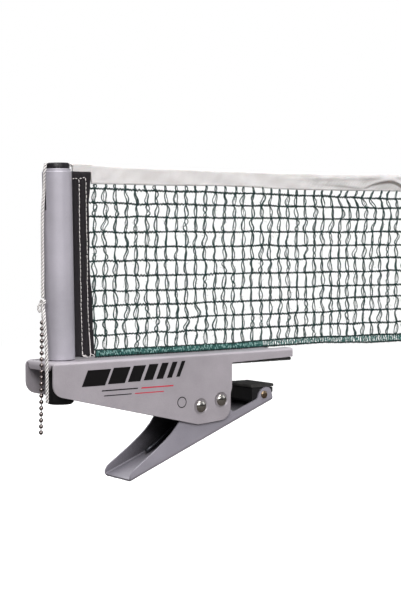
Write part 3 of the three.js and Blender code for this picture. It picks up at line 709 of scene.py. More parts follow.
# (radius, height over the face) from the top of a head down to the shank
RIVET_HEAD = [(HEAD_RADIUS * math.sin(angle), DOME_BASE + DOME_RISE * math.cos(angle))
              for angle in (math.pi / 2 * i / DOME_STEPS for i in range(DOME_STEPS + 1))]
RIVET_HEAD += [(4.53, 0.3), (4.42, 0.15), (4.1, 0.12), (3.0, 0.12)]
JAW_PIN_HEAD = [(0, 1.05), (0.9, 1.05), (1.7, 0.98), (2.5, 0.75), (2.9, 0.4), (3.0, 0.12),
                (2.0, 0.12)]


def headed_pin(name, place, half, head, segments, material):
    """A pin across the clamp with the same head at both ends."""
    profile = [(radius, -(half + height)) for radius, height in head]
    profile += [(radius, half + height) for radius, height in reversed(head)]
    return lathe_across(name, place, profile, segments, material)


def build_pins():
    for name, place in (("pivot_rivet", PIVOT), ("stop_rivet", STOP)):
        rivet = headed_pin(name + "_look", place, CHEEK_Y, RIVET_HEAD, 48, CHROME)
        attach(rivet, "chrome", replaces=name)
    pin = headed_pin("jaw_pin_look", JAW_PIN, JAW_PIN_HALF, JAW_PIN_HEAD, 40, BRASS)
    attach(pin, "brass_pin", body="lever", replaces="jaw_pin")


# ------------------------------------------------------------------ torsion spring
WIRE_RADIUS, COIL_RADIUS, BUSH_RADIUS = 1.4, 6.15, 4.0
WIRE_SIDES = 14
COIL_INNER_Y = 2.9  # where each coil is nearest the net's plane
COIL_PITCH = 3.3
COIL_STEPS = 240
LEVER_ORIGIN = (-90.7, -79.15)
LEVER_ANGLE = math.atan2(51.2, 132.8)


def on_lever(distance, height):
    """(x, z) of a point given along the lever's line and square to it."""
    cos, sin = math.cos(LEVER_ANGLE), math.sin(LEVER_ANGLE)
    return np.array([LEVER_ORIGIN[0] + distance * cos - height * sin,
                     LEVER_ORIGIN[1] + distance * sin + height * cos])


def direction(angle):
    return np.array([math.cos(angle), math.sin(angle)])


def build_spring():
    """Two coils round the pivot joined by a bridge at the stop, with a leg to the lever each."""
    pivot, stop = np.array(PIVOT), np.array(STOP)
    leg_end = on_lever(36, 1.5 + WIRE_RADIUS + 0.25)
    # the legs leave the coils along tangents: one to the lever, one past the stop
    x, z = leg_end - pivot
    start = math.atan2(z, x) + math.acos(COIL_RADIUS / np.linalg.norm(leg_end - pivot))
    clearance = BUSH_RADIUS + WIRE_RADIUS + 0.3
    x, z = stop - pivot
    end = math.atan2(z, x) - math.acos(
        (COIL_RADIUS + clearance) / np.linalg.norm(stop - pivot))
    stop_touch = stop - clearance * direction(end)
    coil_end = pivot + COIL_RADIUS * direction(end)
    reach = np.linalg.norm(stop_touch - coil_end)
    stop_way = (stop_touch - coil_end) / reach
    bridge_start = reach + 3.0
    while end < start:
        end += 2 * math.pi
    end += 4 * math.pi
    span = (end - start) / (2 * math.pi) * COIL_PITCH
    outer_y = COIL_INNER_Y + span

    def coil_point(angle):
        x, z = pivot + COIL_RADIUS * direction(angle)
        return x, outer_y - span * (angle - start) / (end - start), z

    def stop_leg_point(distance, y):
        x, z = coil_end + stop_way * distance
        return x, y, z

    half = [coil_point(start + (end - start) * k / COIL_STEPS) for k in range(COIL_STEPS + 1)]
    half += [stop_leg_point(bridge_start * k / 8, COIL_INNER_Y) for k in range(1, 9)]
    bridge = []
    for k in range(1, 16):
        angle = math.pi * k / 16
        bridge.append(stop_leg_point(bridge_start + COIL_INNER_Y * math.sin(angle),
                                     COIL_INNER_Y * math.cos(angle)))
    wire = TubeMesh()
    wire.tube(half + bridge + [(x, -y, z) for x, y, z in reversed(half)],
              WIRE_RADIUS, WIRE_SIDES)
    attach(wire.object("torsion_spring_coils", SPRING), "steel", replaces="torsion_spring")

    wire = TubeMesh()
    coil_start = pivot + COIL_RADIUS * direction(start)
    for side in (FAR, NEAR):
        path = []
        for k in range(13):
            x, z = leg_end + (coil_start - leg_end) * k / 12
            path.append((x, side * outer_y, z))
        for k in range(1, 12):
            x, y, z = coil_point(start + 0.06 * k)
            path.append((x, side * y, z))
        radius = np.full(len(path), WIRE_RADIUS)
        radius[0] = WIRE_RADIUS * 0.8
        wire.tube(path, radius, WIRE_SIDES)
    attach(wire.object("torsion_spring_legs", SPRING), "steel", body="lever")


# ------------------------------------------------------------------ net outlines
NET_END = 214.5

# stations along X, then the height at each
TAPE_TOP = ([-130, -113, -86, -41, 3, 84, 127, 172, 196, 215],
            [152.3, 152.2, 151.3, 151.0, 150.8, 150.8, 151.0, 151.8, 152.1, 152.0])
TAPE_LOW = ([-113, -86, -52, 3, 40, 63, 94, 127, 183, 215],
            [137.7, 137.9, 137.8, 138.6, 138.1, 137.3, 137.2, 137.3, 137.7, 137.9])
HEM_X = [-111, -17, 13, 46, 75, 107, 132, 165, 197, 215]
HEM_TOP = (HEM_X, [17.5, 17.1, 17.0, 17.8, 18.2, 18.2, 17.45, 17.45, 16.8, 16.8])
HEM_LOW = (HEM_X, [11.75, 11.75, 11.8, 12.1, 12.2, 12.5, 11.5, 10.2, 10.1, 10.2])
# stations up Z, then the X of the band's edge on the net's side
BAND_EDGE = ([11.5, 54, 83, 101, 125, 146.5],
             [-110.9, -113.2, -115.1, -115.4, -115.3, -113.8])


def eased(x, stations):
    """Interpolation that is level at every station."""
    xs, zs = (np.array(column, float) for column in stations)
    x = np.asarray(x, float)
    i = np.clip(np.searchsorted(xs, x) - 1, 0, len(xs) - 2)
    u = np.clip((x - xs[i]) / (xs[i + 1] - xs[i]), 0, 1)
    u = u * u * (3 - 2 * u)
    return zs[i] * (1 - u) + zs[i + 1] * u


def net_y(x, z):
    """Gentle ripples of the whole net out of its plane."""
    amount = np.clip((x + 110) / 60, 0, 1) * np.clip((z - 17) / 20, 0, 1)
    return amount * (0.55 * np.sin(x / 23.0 + z / 37.0)
                     + 0.35 * np.sin(x / 11.0 - z / 19.0 + 1.3))


def ripple(path):
    path[:, 1] += net_y(path[:, 0], path[:, 2])


# ------------------------------------------------------------------ net rows and columns
# heights of the rows, top to bottom, at the band and far along the net
ROW_LEFT = (134.5, 124.3, 114.1, 103.1, 92.2, 82.0, 71.0, 60.0, 49.1, 38.8, 27.8)
ROW_RIGHT = (132.0, 123.6, 114.0, 103.5, 92.5, 81.6, 70.6, 58.8, 48.7, 38.1, 27.6)
ROWS = len(ROW_LEFT)
COLUMNS = 36
COLUMN_X = -110.7 + 9.12 * np.arange(COLUMNS)
ROW_WAVE_X = np.linspace(-116, 216, 700)

# one generator for rows, columns and hem: the order of its draws shapes them all
net_random = np.random.default_rng(7)
row_waves = [smooth_noise(net_random, len(ROW_WAVE_X), length=330, scale=16, amount=0.30)
             for _ in range(ROWS)]


def crossing_shifts():
    """How far each column strays from its place on the tape, at every row and on the hem."""
    shifts = np.zeros((ROWS + 2, COLUMNS))
    for k in range(ROWS + 2):
        shifts[k] = smooth_noise(net_random, COLUMNS, length=330, scale=60, amount=0.6)
        shifts[k] += net_random.normal(size=COLUMNS) * 0.38
    shifts[-1] *= 0.5
    # the top rows are dragged sideways where the tape is creased
    drag = np.exp(-((COLUMN_X - 150) / 48) ** 2)
    for k, amount in enumerate((1.1, -2.2, 2.3, 3.4, 1.2)):
        shifts[k] += amount * drag
    return shifts


column_shift = crossing_shifts()


def row_z(k, x):
    """Height of row k at x. Row -1 is the tape's lower edge, row ROWS the hem."""
    if k < 0:
        return np.interp(x, *TAPE_LOW) + 0.8
    if k >= ROWS:
        return eased(x, HEM_TOP) - 0.6
    u = np.clip((np.asarray(x, float) + 100) / 268, 0, 1.15)
    return ROW_LEFT[k] * (1 - u) + ROW_RIGHT[k] * u + np.interp(x, ROW_WAVE_X, row_waves[k])


def build_rows():
    """Each row cord is two plies wound round each other with uneven tension."""
    cords = TubeMesh()
    for k in range(ROWS):
        xs = np.arange(np.interp(ROW_LEFT[k], *BAND_EDGE) - 1.5, NET_END, 0.42)
        count, length = len(xs), xs[-1] - xs[0]
        phase = 1.7 * k + smooth_noise(net_random, count, length, scale=14, amount=1.6)
        swing = 0.52 + smooth_noise(net_random, count, length, scale=9, amount=0.14)
        zs = row_z(k, xs) + swing * np.sin(2 * np.pi * xs / 2.45 + phase)
        path = np.stack([xs, net_y(xs, zs), zs], axis=1)
        cords.twist(path, radius=0.38, offset=0.28, pitch=4.9, strands=2, sides=6,
                    phase=net_random.uniform(0, 6), jitter=0.12, gen=net_random)
    attach(cords.object("net_rows", NET_ROW), "net_cord", replaces="net_mesh")


def column_span(top, low, side, below_row):
    """Three threads from one crossing (x, z) down to the next: their points, their bow,
    their spread and whether the outer two change sides."""
    steps = 16
    bow = net_random.normal() * 0.62
    spread = min(1.75, abs(net_random.normal(1.0, 0.45))) if below_row else 0.5
    tilt = net_random.normal(0.1, 0.55) if below_row else 0.0
    crossed = net_random.random() < 0.16
    wobble = smooth_noise(net_random, steps * 3, length=11, scale=2.6, amount=0.30)
    wobble = wobble.reshape(3, steps)
    middle_offset = net_random.normal() * 0.7
    depth = 0.9 if below_row else 0.3
    threads = []
    for index, sign in enumerate((1, -1, 0)):
        points = []
        for q in range(steps):
            u = q / steps
            bell = math.sin(math.pi * u)
            wave = math.sin(2 * math.pi * u)
            lens = wave * 0.8 if crossed else bell ** 0.8
            if sign:
                offset = sign * side * math.copysign(0.22 + spread * abs(lens), lens)
            else:
                offset = middle_offset * bell
            offset += tilt * wave
            x = (top[0] * (1 - u) + low[0] * u + bow * bell + offset
                 + wobble[index][q] * bell)
            y = 0.42 * sign * side * math.cos(math.pi * u * (2 if crossed else 1)) * depth
            points.append((x, y, top[1] * (1 - u) + low[1] * u))
        threads.append(points)
    return threads, bow, spread, crossed


def wrap_crossing(wraps, x, z):
    """Two turns of thread round the row cord."""
    for turn in range(2):
        path = []
        for q in range(13):
            angle = 2 * math.pi * q / 12
            path.append((x + (turn - 0.5) * 0.62 + 0.22 * math.sin(angle),
                         0.92 * math.cos(angle), z + 0.86 * math.sin(angle)))
        path = np.array(path)
        ripple(path)
        wraps.tube(path, 0.30, 5)


def loose_fibres(fibres, top, low, bow, spread):
    for _ in range(8):
        u = net_random.uniform(0.1, 0.9)
        x = top[0] * (1 - u) + low[0] * u + bow * math.sin(math.pi * u)
        x += net_random.normal() * spread * 0.8
        y = net_random.normal() * 0.3
        start = np.array([x, y, top[1] * (1 - u) + low[1] * u])
        end = start + net_random.normal(size=3) * np.array([0.9, 0.4, 1.1])
        middle = (start + end) / 2 + net_random.normal(size=3) * 0.35
        path = catmull([start, middle, end], 3)
        ripple(path)
        fibres.tube(path, 0.085, 3, caps=False)


# radius, its variation and the sides of each thread of a column
COLUMN_THREADS = ((0.46, 0.07, 6), (0.42, 0.07, 6), (0.30, 0.04, 4))


def build_columns():
    columns, wraps, fibres = TubeMesh(), TubeMesh(), TubeMesh()
    for j in range(COLUMNS):
        threads = [[], [], []]
        side = 1 if net_random.random() > 0.5 else -1
        for k in range(-1, ROWS):
            top_x = COLUMN_X[j] + column_shift[k + 1][j]
            low_x = COLUMN_X[j] + column_shift[k + 2][j]
            top_z, low_z = float(row_z(k, top_x)), float(row_z(k + 1, low_x))
            if k == -1:
                # start clear of the band
                top_x = max(top_x, float(np.interp(top_z, *BAND_EDGE)) + 0.5)
            top, low = (top_x, top_z), (low_x, low_z)
            points, bow, spread, crossed = column_span(top, low, side, below_row=k >= 0)
            for thread, more in zip(threads, points):
                thread.extend(more)
            if k >= 0:
                wrap_crossing(wraps, top_x, top_z)
                loose_fibres(fibres, top, low, bow, spread)
            if crossed:
                side = -side
        for index, (radius, variation, sides) in enumerate(COLUMN_THREADS):
            path = np.array(threads[index] + [(low_x + 0.2 * (index - 1), 0.0, low_z)])
            ripple(path)
            path = catmull(path[::2], 3)
            radii = radius + variation * smooth_noise(net_random, len(path), length=120,
                                                      scale=4, amount=1.0)
            columns.tube(path, np.clip(radii, 0.12, 0.5), sides)
    for tubes, name, material in ((columns, "net_columns", NET_COLUMN),
                                  (wraps, "net_crossings", NET_ROW),
                                  (fibres, "net_fibres", NET_COLUMN)):
        attach(tubes.object(name, material), "net_cord")


# ------------------------------------------------------------------ hem
HEM_START, HEM_STEP = -110.2, 0.6
HEM_BACKING_END = 44.6  # beyond this the knit is drawn open, with no backing
HEM_OPEN_X = 45
hem_x = np.arange(HEM_START, NET_END, HEM_STEP)
hem_top = eased(hem_x, HEM_TOP)
hem_low = eased(hem_x, HEM_LOW)
hem_y = 0.5 * np.sin(hem_x / 31.0) * np.clip((hem_x - 40) / 40, 0, 1)


def build_hem_body():
    """Close backing of the hem over the frame."""
    count, sides = int(np.searchsorted(hem_x, HEM_BACKING_END)), 12
    verts = []
    for i in range(count):
        middle = (hem_top[i] + hem_low[i]) / 2
        half_height = ((hem_top[i] - hem_low[i]) / 2 - 0.9
                       - 0.25 * math.sin(i * 0.9) * math.sin(i * 0.23))
        half_depth = 0.42 + 0.1 * math.sin(i * 1.9) * math.sin(i * 0.37)
        for q in range(sides):
            angle = 2 * math.pi * q / sides
            cos, sin = math.cos(angle), math.sin(angle)
            verts.append((hem_x[i],
                          hem_y[i] + half_depth * np.sign(cos) * abs(cos) ** 0.6,
                          middle + half_height * np.sign(sin) * abs(sin) ** 0.8))
    faces = [(a, d, c, b) for a, b, c, d in ring_faces(count, sides, caps=False)]
    faces.append(range(sides))
    faces.append(range(count * sides - 1, (count - 1) * sides - 1, -1))
    attach(mesh_object("hem_body", verts, faces, HEM_BASE), "net_cord", replaces="net_hem")


def build_hem_edges():
    edges = TubeMesh()
    for edge, offset in ((hem_top, -0.55), (hem_low, 0.55)):
        path, _ = resample(np.stack([hem_x, hem_y, edge + offset], axis=1), 0.42)
        path[:, 2] += 0.26 * np.sin(2 * np.pi * path[:, 0] / 2.1)
        edges.twist(path, radius=0.44, offset=0.34, pitch=3.6, strands=2, sides=6,
                    phase=net_random.uniform(0, 6), jitter=0.15, gen=net_random)
    attach(edges.object("hem_edges", NET_ROW), "net_cord")


def hem_at(x):
    """Top, bottom and Y of the space between the hem's edge cords."""
    i = min(len(hem_x) - 1, max(0, int((x - HEM_START) / HEM_STEP)))
    return hem_top[i] - 0.8, hem_low[i] + 0.8, hem_y[i]


def hem_bar(bars, x, side, is_open):
    normal = net_random.normal
    top, low, y = hem_at(x)
    lean = normal() * 0.9 if is_open else 0.35 + normal() * 0.22
    bulge = side * (0.35 if is_open else 0.78 + abs(normal()) * 0.20)
    points = []
    for q in range(6):
        u = q / 5
        points.append((x + lean * (u - 0.5) + normal() * 0.12,
                       y + bulge * (0.75 + 0.25 * math.sin(math.pi * u)) + normal() * 0.05,
                       low + (top - low) * u))
    radius = 0.31 + 0.06 * normal() if is_open else 0.29 + 0.07 * normal()
    bars.tube(catmull(points, 3), max(0.16, radius), 5)


def hem_flecks(flecks, x, side, is_open):
    """Up to two short lengths of lighter thread caught beside a bar."""
    top, low, y = hem_at(x)
    lift = 0.5 if is_open else 1.05
    chances = (0.80, 0.45) if is_open else (0.72, 0.55)
    for _ in range(sum(net_random.random() < chance for chance in chances)):
        z = low + (top - low) * net_random.uniform(0.05, 0.72)
        length = net_random.uniform(0.7, 1.9)
        lean = net_random.normal() * 0.45
        points = [(x + 0.4 + lean * q / 4 + net_random.normal() * 0.10,
                   y + side * lift + side * 0.22 * math.sin(math.pi * q / 4),
                   z + length * q / 4) for q in range(5)]
        flecks.tube(catmull(points, 2), 0.21, 5)


def hem_zigzag(bars, side):
    """A thread that zigzags between the edges over the bars."""
    x, up, points = -109.4, True, []
    while x < NET_END - 0.8:
        top, low, y = hem_at(x)
        is_open = x > HEM_OPEN_X
        z = (top - 0.5 if up else low + 0.5) + net_random.normal() * 0.25
        points.append((x, y + side * (0.45 if is_open else 0.95), z))
        up = not up
        x += (1.9 if is_open else 1.3) + net_random.normal() * 0.15
    bars.tube(catmull(points, 5), 0.23, 4)


def build_hem_knit():
    bars, flecks = TubeMesh(), TubeMesh()
    for side in SIDES:
        x = -109.6
        while x < NET_END - 1.2:
            is_open = x > HEM_OPEN_X
            hem_bar(bars, x, side, is_open)
            hem_flecks(flecks, x, side, is_open)
            step, variation = (2.1, 0.6) if is_open else (0.95, 0.22)
            x += step + abs(net_random.normal()) * variation
        hem_zigzag(bars, side)
    attach(bars.object("hem_bars", HEM_LOOP), "net_cord")
    attach(flecks.object("hem_flecks", HEM_LIGHT), "net_cord")


# ------------------------------------------------------------------ tape
TAPE_HALF = 1.35   # half thickness under the top fold
TAPE_TAPER = 0.45  # how much of it is lost by the lower edge
TAPE_FOLD = 0.14   # share of the height taken by the round top fold
TAPE_SEAM = 0.96   # share of the height where the lower edge starts to round off

# line of a fold that arches over the far +X end: stations along X, then heights
FOLD_POINTS = (
    [90, 110, 127, 140, 149, 155, 161, 171.7, 181.5, 189, 196, 205, 220],
    [142.6, 142.2, 141.6, 140.5, 139.4, 140.6, 143.0, 145.4, 146.5, 145.4, 142.3, 139.8, 138.6])
fold_x = np.linspace(90, 220, 261)
fold_z = np.pad(np.interp(fold_x, *FOLD_POINTS), 8, mode="edge")
fold_z = np.convolve(fold_z, np.ones(17) / 17, "valid")


def tape_shading(x, z):
    """How much of the cloth's lightness is left: painted shade along the folds, and darker towards the +X end."""
    d = z - np.interp(x, fold_x, fold_z)
    deep = np.clip((x - 158) / 16, 0, 1) * np.clip((212 - x) / 14, 0.25, 1)
    soft = np.clip((x - 88) / 45, 0, 1)
    value = (1.0 - 0.33 * deep * np.exp(-((d + 0.35) / 1.5) ** 2)
             - 0.12 * soft * np.exp(-((d - 0.6) / 3.2) ** 2))
    return value * (1.0 - 0.10 * np.clip((x - 60) / 90, 0, 1))


def crease(x, z):
    """Folds of the cloth towards the near side."""
    # the arching fold, and a soft one that leads into it
    d = z - np.interp(x, fold_x, fold_z)
    amount = 0.20 * np.clip((x - 95) / 40, 0, 1) + 0.9 * np.clip((x - 152) / 22, 0, 1)
    y = amount * (1.5 * np.exp(-(d / 2.4) ** 2) * (d > 0)
                  + 1.5 * np.exp(-(d / 0.75) ** 2) * (d <= 0)
                  - 1.3 * np.exp(-((d + 1.5) / 1.2) ** 2))
    rising = np.exp(-((z - 147 - 0.03 * (x - 110)) / 1.6) ** 2)
    y += 0.45 * rising * np.clip((x - 60) / 50, 0, 1)
    y += 0.22 * np.sin(x / 9.0 + z * 0.35) * np.clip((x + 100) / 60, 0, 1)
    # the cloth is dragged on the cross towards its lower edge
    drag = np.clip((x - 70) / 60, 0, 1) * np.exp(-((z - 141) / 3.6) ** 2)
    y += 0.17 * np.sin(2 * np.pi * (x - 0.9 * z) / 3.4 + 1.5 * np.sin(x / 11.0)) * drag
    y += 0.10 * np.sin(x / 3.1 - z * 0.5 + 2 * np.sin(x / 17.0))
    return y


def tape_surface(x, z, u, side):
    """Y of the cloth's face, u of the way down from the top edge."""
    if u < TAPE_FOLD:
        half = TAPE_HALF * math.sqrt(max(0.0, 1 - (1 - u / TAPE_FOLD) ** 2))
    else:
        half = TAPE_HALF - TAPE_TAPER * (u - TAPE_FOLD) / (1 - TAPE_FOLD)
    if u > TAPE_SEAM:
        rounding = max(0.0, 1 - ((u - TAPE_SEAM) / (1 - TAPE_SEAM)) ** 2)
        half *= math.sqrt(rounding) * 0.75 + 0.25
    fold = crease(x, z) * (1 - abs(2 * u - 1) ** 6) if x > -113 else 0
    return side * half - fold * (1.0 if side == NEAR else 0.75)


def build_tape():
    xs = np.concatenate([np.arange(-129.0, NET_END, 0.8), [NET_END]])
    section = cloth_section(26)
    verts, dust_and_shade = [], []
    for x in xs:
        top = float(np.interp(x, *TAPE_TOP))
        # over the band only a narrow strip is left
        low = float(np.interp(x, *TAPE_LOW)) if x > -113.2 else 146.2
        for u, side in section:
            z = top - u * (top - low)
            verts.append((x, tape_surface(x, z, u, side), z))
            # painted shade along the tape's folds, kept for each vertex
            dust_and_shade.append(float(tape_shading(x, z)))
    tape = mesh_object("net_tape_cloth", verts, ring_faces(len(xs), len(section)), TAPE,
                       cavity=dust_and_shade)
    attach(tape, "tape_fabric", replaces="net_tape")


def build_tape_stitches():
    """A row of small stitches just above the tape's lower edge, on both faces."""
    length, step, height = 1.9, 2.7, 1.5
    stitches = TubeMesh()
    for side in SIDES:
        start = -111.0
        while start < NET_END - 3:
            path = []
            for q in range(6):
                x = start + length * q / 5
                top, low = float(np.interp(x, *TAPE_TOP)), float(np.interp(x, *TAPE_LOW))
                z = low + height
                lift = 0.10 * math.sin(math.pi * q / 5) - 0.04
                y = tape_surface(x, z, (top - z) / (top - low), side) + side * lift
                path.append((x, y, z))
            stitches.tube(path, 0.13, 5)
            start += step
    attach(stitches.object("tape_stitches", STITCH), "tape_fabric")


# ------------------------------------------------------------------ black band at the post
BAND_LOW, BAND_TOP = 12.7, 146.4
BAND_RINGS = 120
# channels sunk along the two stitch lines: stations up Z, then X
BAND_CHANNELS = (([13, 54, 83, 141], [-122.1, -123.0, -123.5, -124.6]),
                 ([13, 54, 83, 142], [-115.6, -117.4, -117.6, -118.7]))


def build_band():
    section = cloth_section(34)
    verts = []
    for i, z in enumerate(np.linspace(BAND_LOW, BAND_TOP, BAND_RINGS)):
        net_edge = (float(np.interp(z, *BAND_EDGE)) + 0.25 * math.sin(z / 7.0)
                    + 0.15 * math.sin(z / 2.9))
        post_edge = -130.3 if z > 32.4 else -128.7
        end_fade = max(0.0, min((BAND_TOP - z) / 1.2, (z - BAND_LOW) / 0.8, 1.0))
        waviness = 0.25 if i in (0, BAND_RINGS - 1) else 0
        for u, side in section:
            x = post_edge + (net_edge - post_edge) * u
            half = 1.45
            if u > 0.93:
                half *= math.sqrt(max(0, 1 - ((u - 0.93) / 0.07) ** 2)) * 0.85 + 0.15
            for channel in BAND_CHANNELS:
                half -= 0.32 * math.exp(-((x - np.interp(z, *channel)) / 0.75) ** 2)
            half += 0.10 * math.sin(x * 2.1 + 0.4 * math.sin(z / 9.0))
            half *= 0.45 + 0.55 * math.sqrt(end_fade)
            verts.append((x, side * half + 0.12 * math.sin(z / 13.0),
                          z + waviness * math.sin(u * 9.0)))
    faces = [face[::-1] for face in ring_faces(BAND_RINGS, len(section))]
    band = mesh_object("net_band", verts, faces, BAND)
    attach(band, "sleeve_fabric", replaces="net_sleeve")


def build_band_loop():
    """The band's edge at the post: through the slot and round the rod."""
    rod_x, radius = -135.3, 2.55
    opening = math.radians(24)
    loop = [(-129.9, 0.95), (-131.4, 1.0)]
    for k in range(33):
        angle = opening + (2 * math.pi - 2 * opening) * k / 32
        loop.append((rod_x + radius * math.cos(angle), radius * math.sin(angle)))
    loop += [(-131.4, -1.0), (-129.9, -0.95)]
    count = len(loop)
    heights = np.linspace(38.8, 135.8, 14)
    verts, faces = [], []
    for z in heights:
        # it follows the rod's lean, but its two ends stay in line
        shift = -(z - 87.5) * math.tan(math.radians(0.94))
        for q, (x, y) in enumerate(loop):
            verts.append((x + (shift if 0 < q < count - 1 else 0), y, z))
    for i in range(len(heights) - 1):
        for q in range(count - 1):
            a = i * count + q
            faces.append((a, a + 1, a + 1 + count, a + count))
    inner = mesh_object("net_band_loop", verts, faces, BAND)
    add_film(inner, 0.8)
    attach(inner, "sleeve_fabric")


# (x, z) points of each line of stitches, its step and the length of a stitch
STITCH_LINES = (
    ([(-125.0, 140.9), (-124.4, 139.6), (-124.2, 134), (-124.1, 115), (-123.5, 83),
      (-123.0, 54), (-122.4, 30), (-122.0, 14.0)], 3.1, 2.5),
    ([(-119.0, 142.3), (-118.7, 140.6), (-118.5, 134), (-118.2, 115), (-117.6, 83),
      (-117.4, 54), (-116.3, 30), (-115.3, 14.0)], 3.1, 2.5),
    ([(-130.2, 141.0), (-127.5, 141.3), (-124.6, 141.3)], 2.3, 1.95),
    ([(-124.0, 141.4), (-121.5, 141.8), (-119.0, 142.6)], 2.3, 1.95),
)
# loose thread ends at the lower edge, near side
THREAD_ENDS = (
    [(-122.1, -1.5, 17), (-121.9, -1.9, 14.5), (-121.2, -2.3, 13.2), (-119.6, -2.8, 12.9),
     (-118.4, -3.1, 12.6)],
    [(-122.0, -1.6, 14), (-121.4, -2.1, 13.6), (-120.3, -2.4, 14.1), (-119.3, -2.6, 13.4)],
    [(-116.0, -1.5, 24), (-115.7, -1.9, 19), (-115.6, -2.1, 15.5), (-115.9, -2.4, 13.2),
     (-117.0, -2.8, 12.6)],
    [(-115.6, -1.7, 15), (-114.6, -2.2, 14.4), (-113.4, -2.5, 14.0), (-112.4, -2.7, 12.8)],
)
# the second line is doubled near its lower end
DOUBLED_THREAD = [(-116.3, -1.55, 30), (-116.0, -1.75, 24), (-115.6, -1.85, 18),
                  (-115.5, -1.8, 14.5)]


def stitch_line(stitches, gen, points, side, step, length):
    path, travelled = resample(catmull([(x, 0, z) for x, z in points], 12), 0.25)
    bell = np.sin(np.pi * np.linspace(0, 1, 8))
    start = 0.3
    while start + length < travelled[-1]:
        stitch = along(np.linspace(start, start + length, 8), travelled, path)
        # the sine can dip just below zero at the end, and has no real power there
        stitch[:, 1] = side * (1.12 + 0.42 * bell ** 0.6)
        stitch[:, 0] += gen.normal() * 0.10
        stitches.tube(stitch, 0.27 * (0.75 + 0.25 * bell), 6)
        start += step + gen.normal() * 0.12


def build_band_stitches():
    gen = np.random.default_rng(11)
    stitches = TubeMesh()
    for side in SIDES:
        for points, step, length in STITCH_LINES:
            stitch_line(stitches, gen, points, side, step, length)
    for points in THREAD_ENDS:
        stitches.tube(catmull(points, 8), 0.26, 6)
    stitches.twist(catmull(DOUBLED_THREAD, 10), radius=0.24, offset=0.22, pitch=3.0,
                   strands=2, sides=6)
    attach(stitches.object("band_stitches", STITCH), "sleeve_fabric")


# ------------------------------------------------------------------ tension cord, knot and loop
CORD_STEP = 0.35
# from the tape over the post's top and down to the knot
CORD_UPPER = [
    (-129.0, 0, 151.1), (-134, 0, 151.2), (-142, 0, 151.2), (-148.2, 0, 151.1),
    (-150.6, 0, 150.6), (-151.5, -0.1, 148.6), (-151.8, -0.2, 145), (-152.4, -0.3, 134),
    (-153.5, -0.5, 123), (-154.2, -0.8, 112), (-154.5, -1.2, 95), (-154.8, -1.8, 78),
    (-155.4, -2.6, 64), (-155.9, -3.7, 56.5)]
# from the knot to the free end
CORD_LOWER = [
    (-156.2, -4.8, 50.4), (-157.2, -7.6, 46), (-158.5, -10.3, 41.4), (-158.8, -12.2, 30),
    (-158.8, -13.2, 22), (-158.8, -14.0, 6), (-158.9, -14.3, -8), (-159.0, -14.4, -16.2)]
# loop that carries the chain
CHAIN_LOOP = [
    (-156.9, -4.9, 50.2), (-157.6, -5.8, 46.0), (-158.0, -6.3, 43.0), (-158.1, -6.45, 42.35),
    (-158.15, -6.7, 43.2), (-158.0, -6.4, 46.2), (-157.2, -5.4, 50.4)]

# the knot's own axes: across and along the line of sight, and up
KNOT = np.array([-156.7, -4.9, 52.9])
KNOT_ACROSS = np.array([0.807, -0.589, 0.0])
KNOT_UP = np.array([0.0, 0.0, 1.0])
KNOT_DEEP = np.array([0.589, 0.807, 0.0])
# small bight on the knot's -X side: across, up, deep
BIGHT = [(-0.5, -0.2, 0.2), (-1.7, -0.6, -0.1), (-2.9, -1.9, -0.3), (-3.1, -4.2, -0.3),
         (-2.2, -6.0, -0.1), (-1.1, -5.2, 0.2), (-0.6, -3.0, 0.2), (-0.2, -1.2, 0.3)]


def by_knot(across, up, deep):
    return KNOT + across * KNOT_ACROSS + up * KNOT_UP + deep * KNOT_DEEP


def trefoil():
    """Closed path of a trefoil knot, pulled tight."""
    points = []
    for k in range(72):
        angle = 2 * math.pi * k / 72
        points.append(by_knot((math.sin(angle) + 2 * math.sin(2 * angle)) * 0.52,
                              (math.cos(angle) - 2 * math.cos(2 * angle)) * 0.92,
                              -math.sin(3 * angle) * 1.2))
    return points + points[:1]


def build_cord():
    cord = TubeMesh()
    cord.twist(smooth_curve(CORD_UPPER, 12, CORD_STEP),
               radius=0.60, offset=0.66, pitch=7.6, strands=3, sides=9)
    cord.twist(smooth_curve(CORD_LOWER, 12, CORD_STEP),
               radius=0.60, offset=0.66, pitch=7.8, strands=3, sides=9, phase=1.0)
    cord.twist(smooth_curve(trefoil(), 3, CORD_STEP),
               radius=0.50, offset=0.56, pitch=6.2, strands=3, sides=9, phase=0.5)
    cord.twist(smooth_curve([by_knot(*point) for point in BIGHT], 10, CORD_STEP),
               radius=0.42, offset=0.46, pitch=5.4, strands=3, sides=8)
    cord.twist(smooth_curve(CHAIN_LOOP, 10, 0.3),
               radius=0.30, offset=0.34, pitch=4.4, strands=3, sides=7)
    attach(cord.object("tension_cord_twist", CORD), "cord", replaces="tension_cord")


def build_cord_fray():
    """Frayed fibres at the cut lower end."""
    gen = np.random.default_rng(5)
    fray = TubeMesh()
    for _ in range(26):
        start = np.array([-159.0, -14.4, -15.9]) + np.append(gen.normal(size=2) * 0.45, 0)
        end = start + np.append(gen.normal(size=2) * 0.45, -abs(gen.normal(0.9, 0.3)))
        middle = (start + end) / 2 + gen.normal(size=3) * 0.12
        fray.tube(catmull([start, middle, end], 5), 0.10, 4)
    attach(fray.object("cord_fray", CORD), "cord")


# ------------------------------------------------------------------ ball chain
CHAIN_X, CHAIN_Y, CHAIN_TOP = -158.1, -6.4, 39.3  # centre of the first ball
BALL_RADIUS, BALL_PITCH = 1.58, 4.32
BALL_FLAT = BALL_RADIUS - 0.10  # height of the flat round each hole over the ball's centre
HOLE_RADIUS = 0.56
CHAIN_LEAN = 0.075 / BALL_PITCH  # towards -X going down
BALL_SEGMENTS, BALL_RINGS = 28, 20

# name, the CAD piece, the body it rides on, first ball and the one after the last
CHAIN_PARTS = (
    ("chain_balls_upper", "ball_chain_upper", "chain_top", 0, 6),
    ("chain_balls_middle", "ball_chain_middle", "chain_mid", 6, 12),
    ("chain_balls_lower", "ball_chain_lower", "chain_end", 12, 19),
)


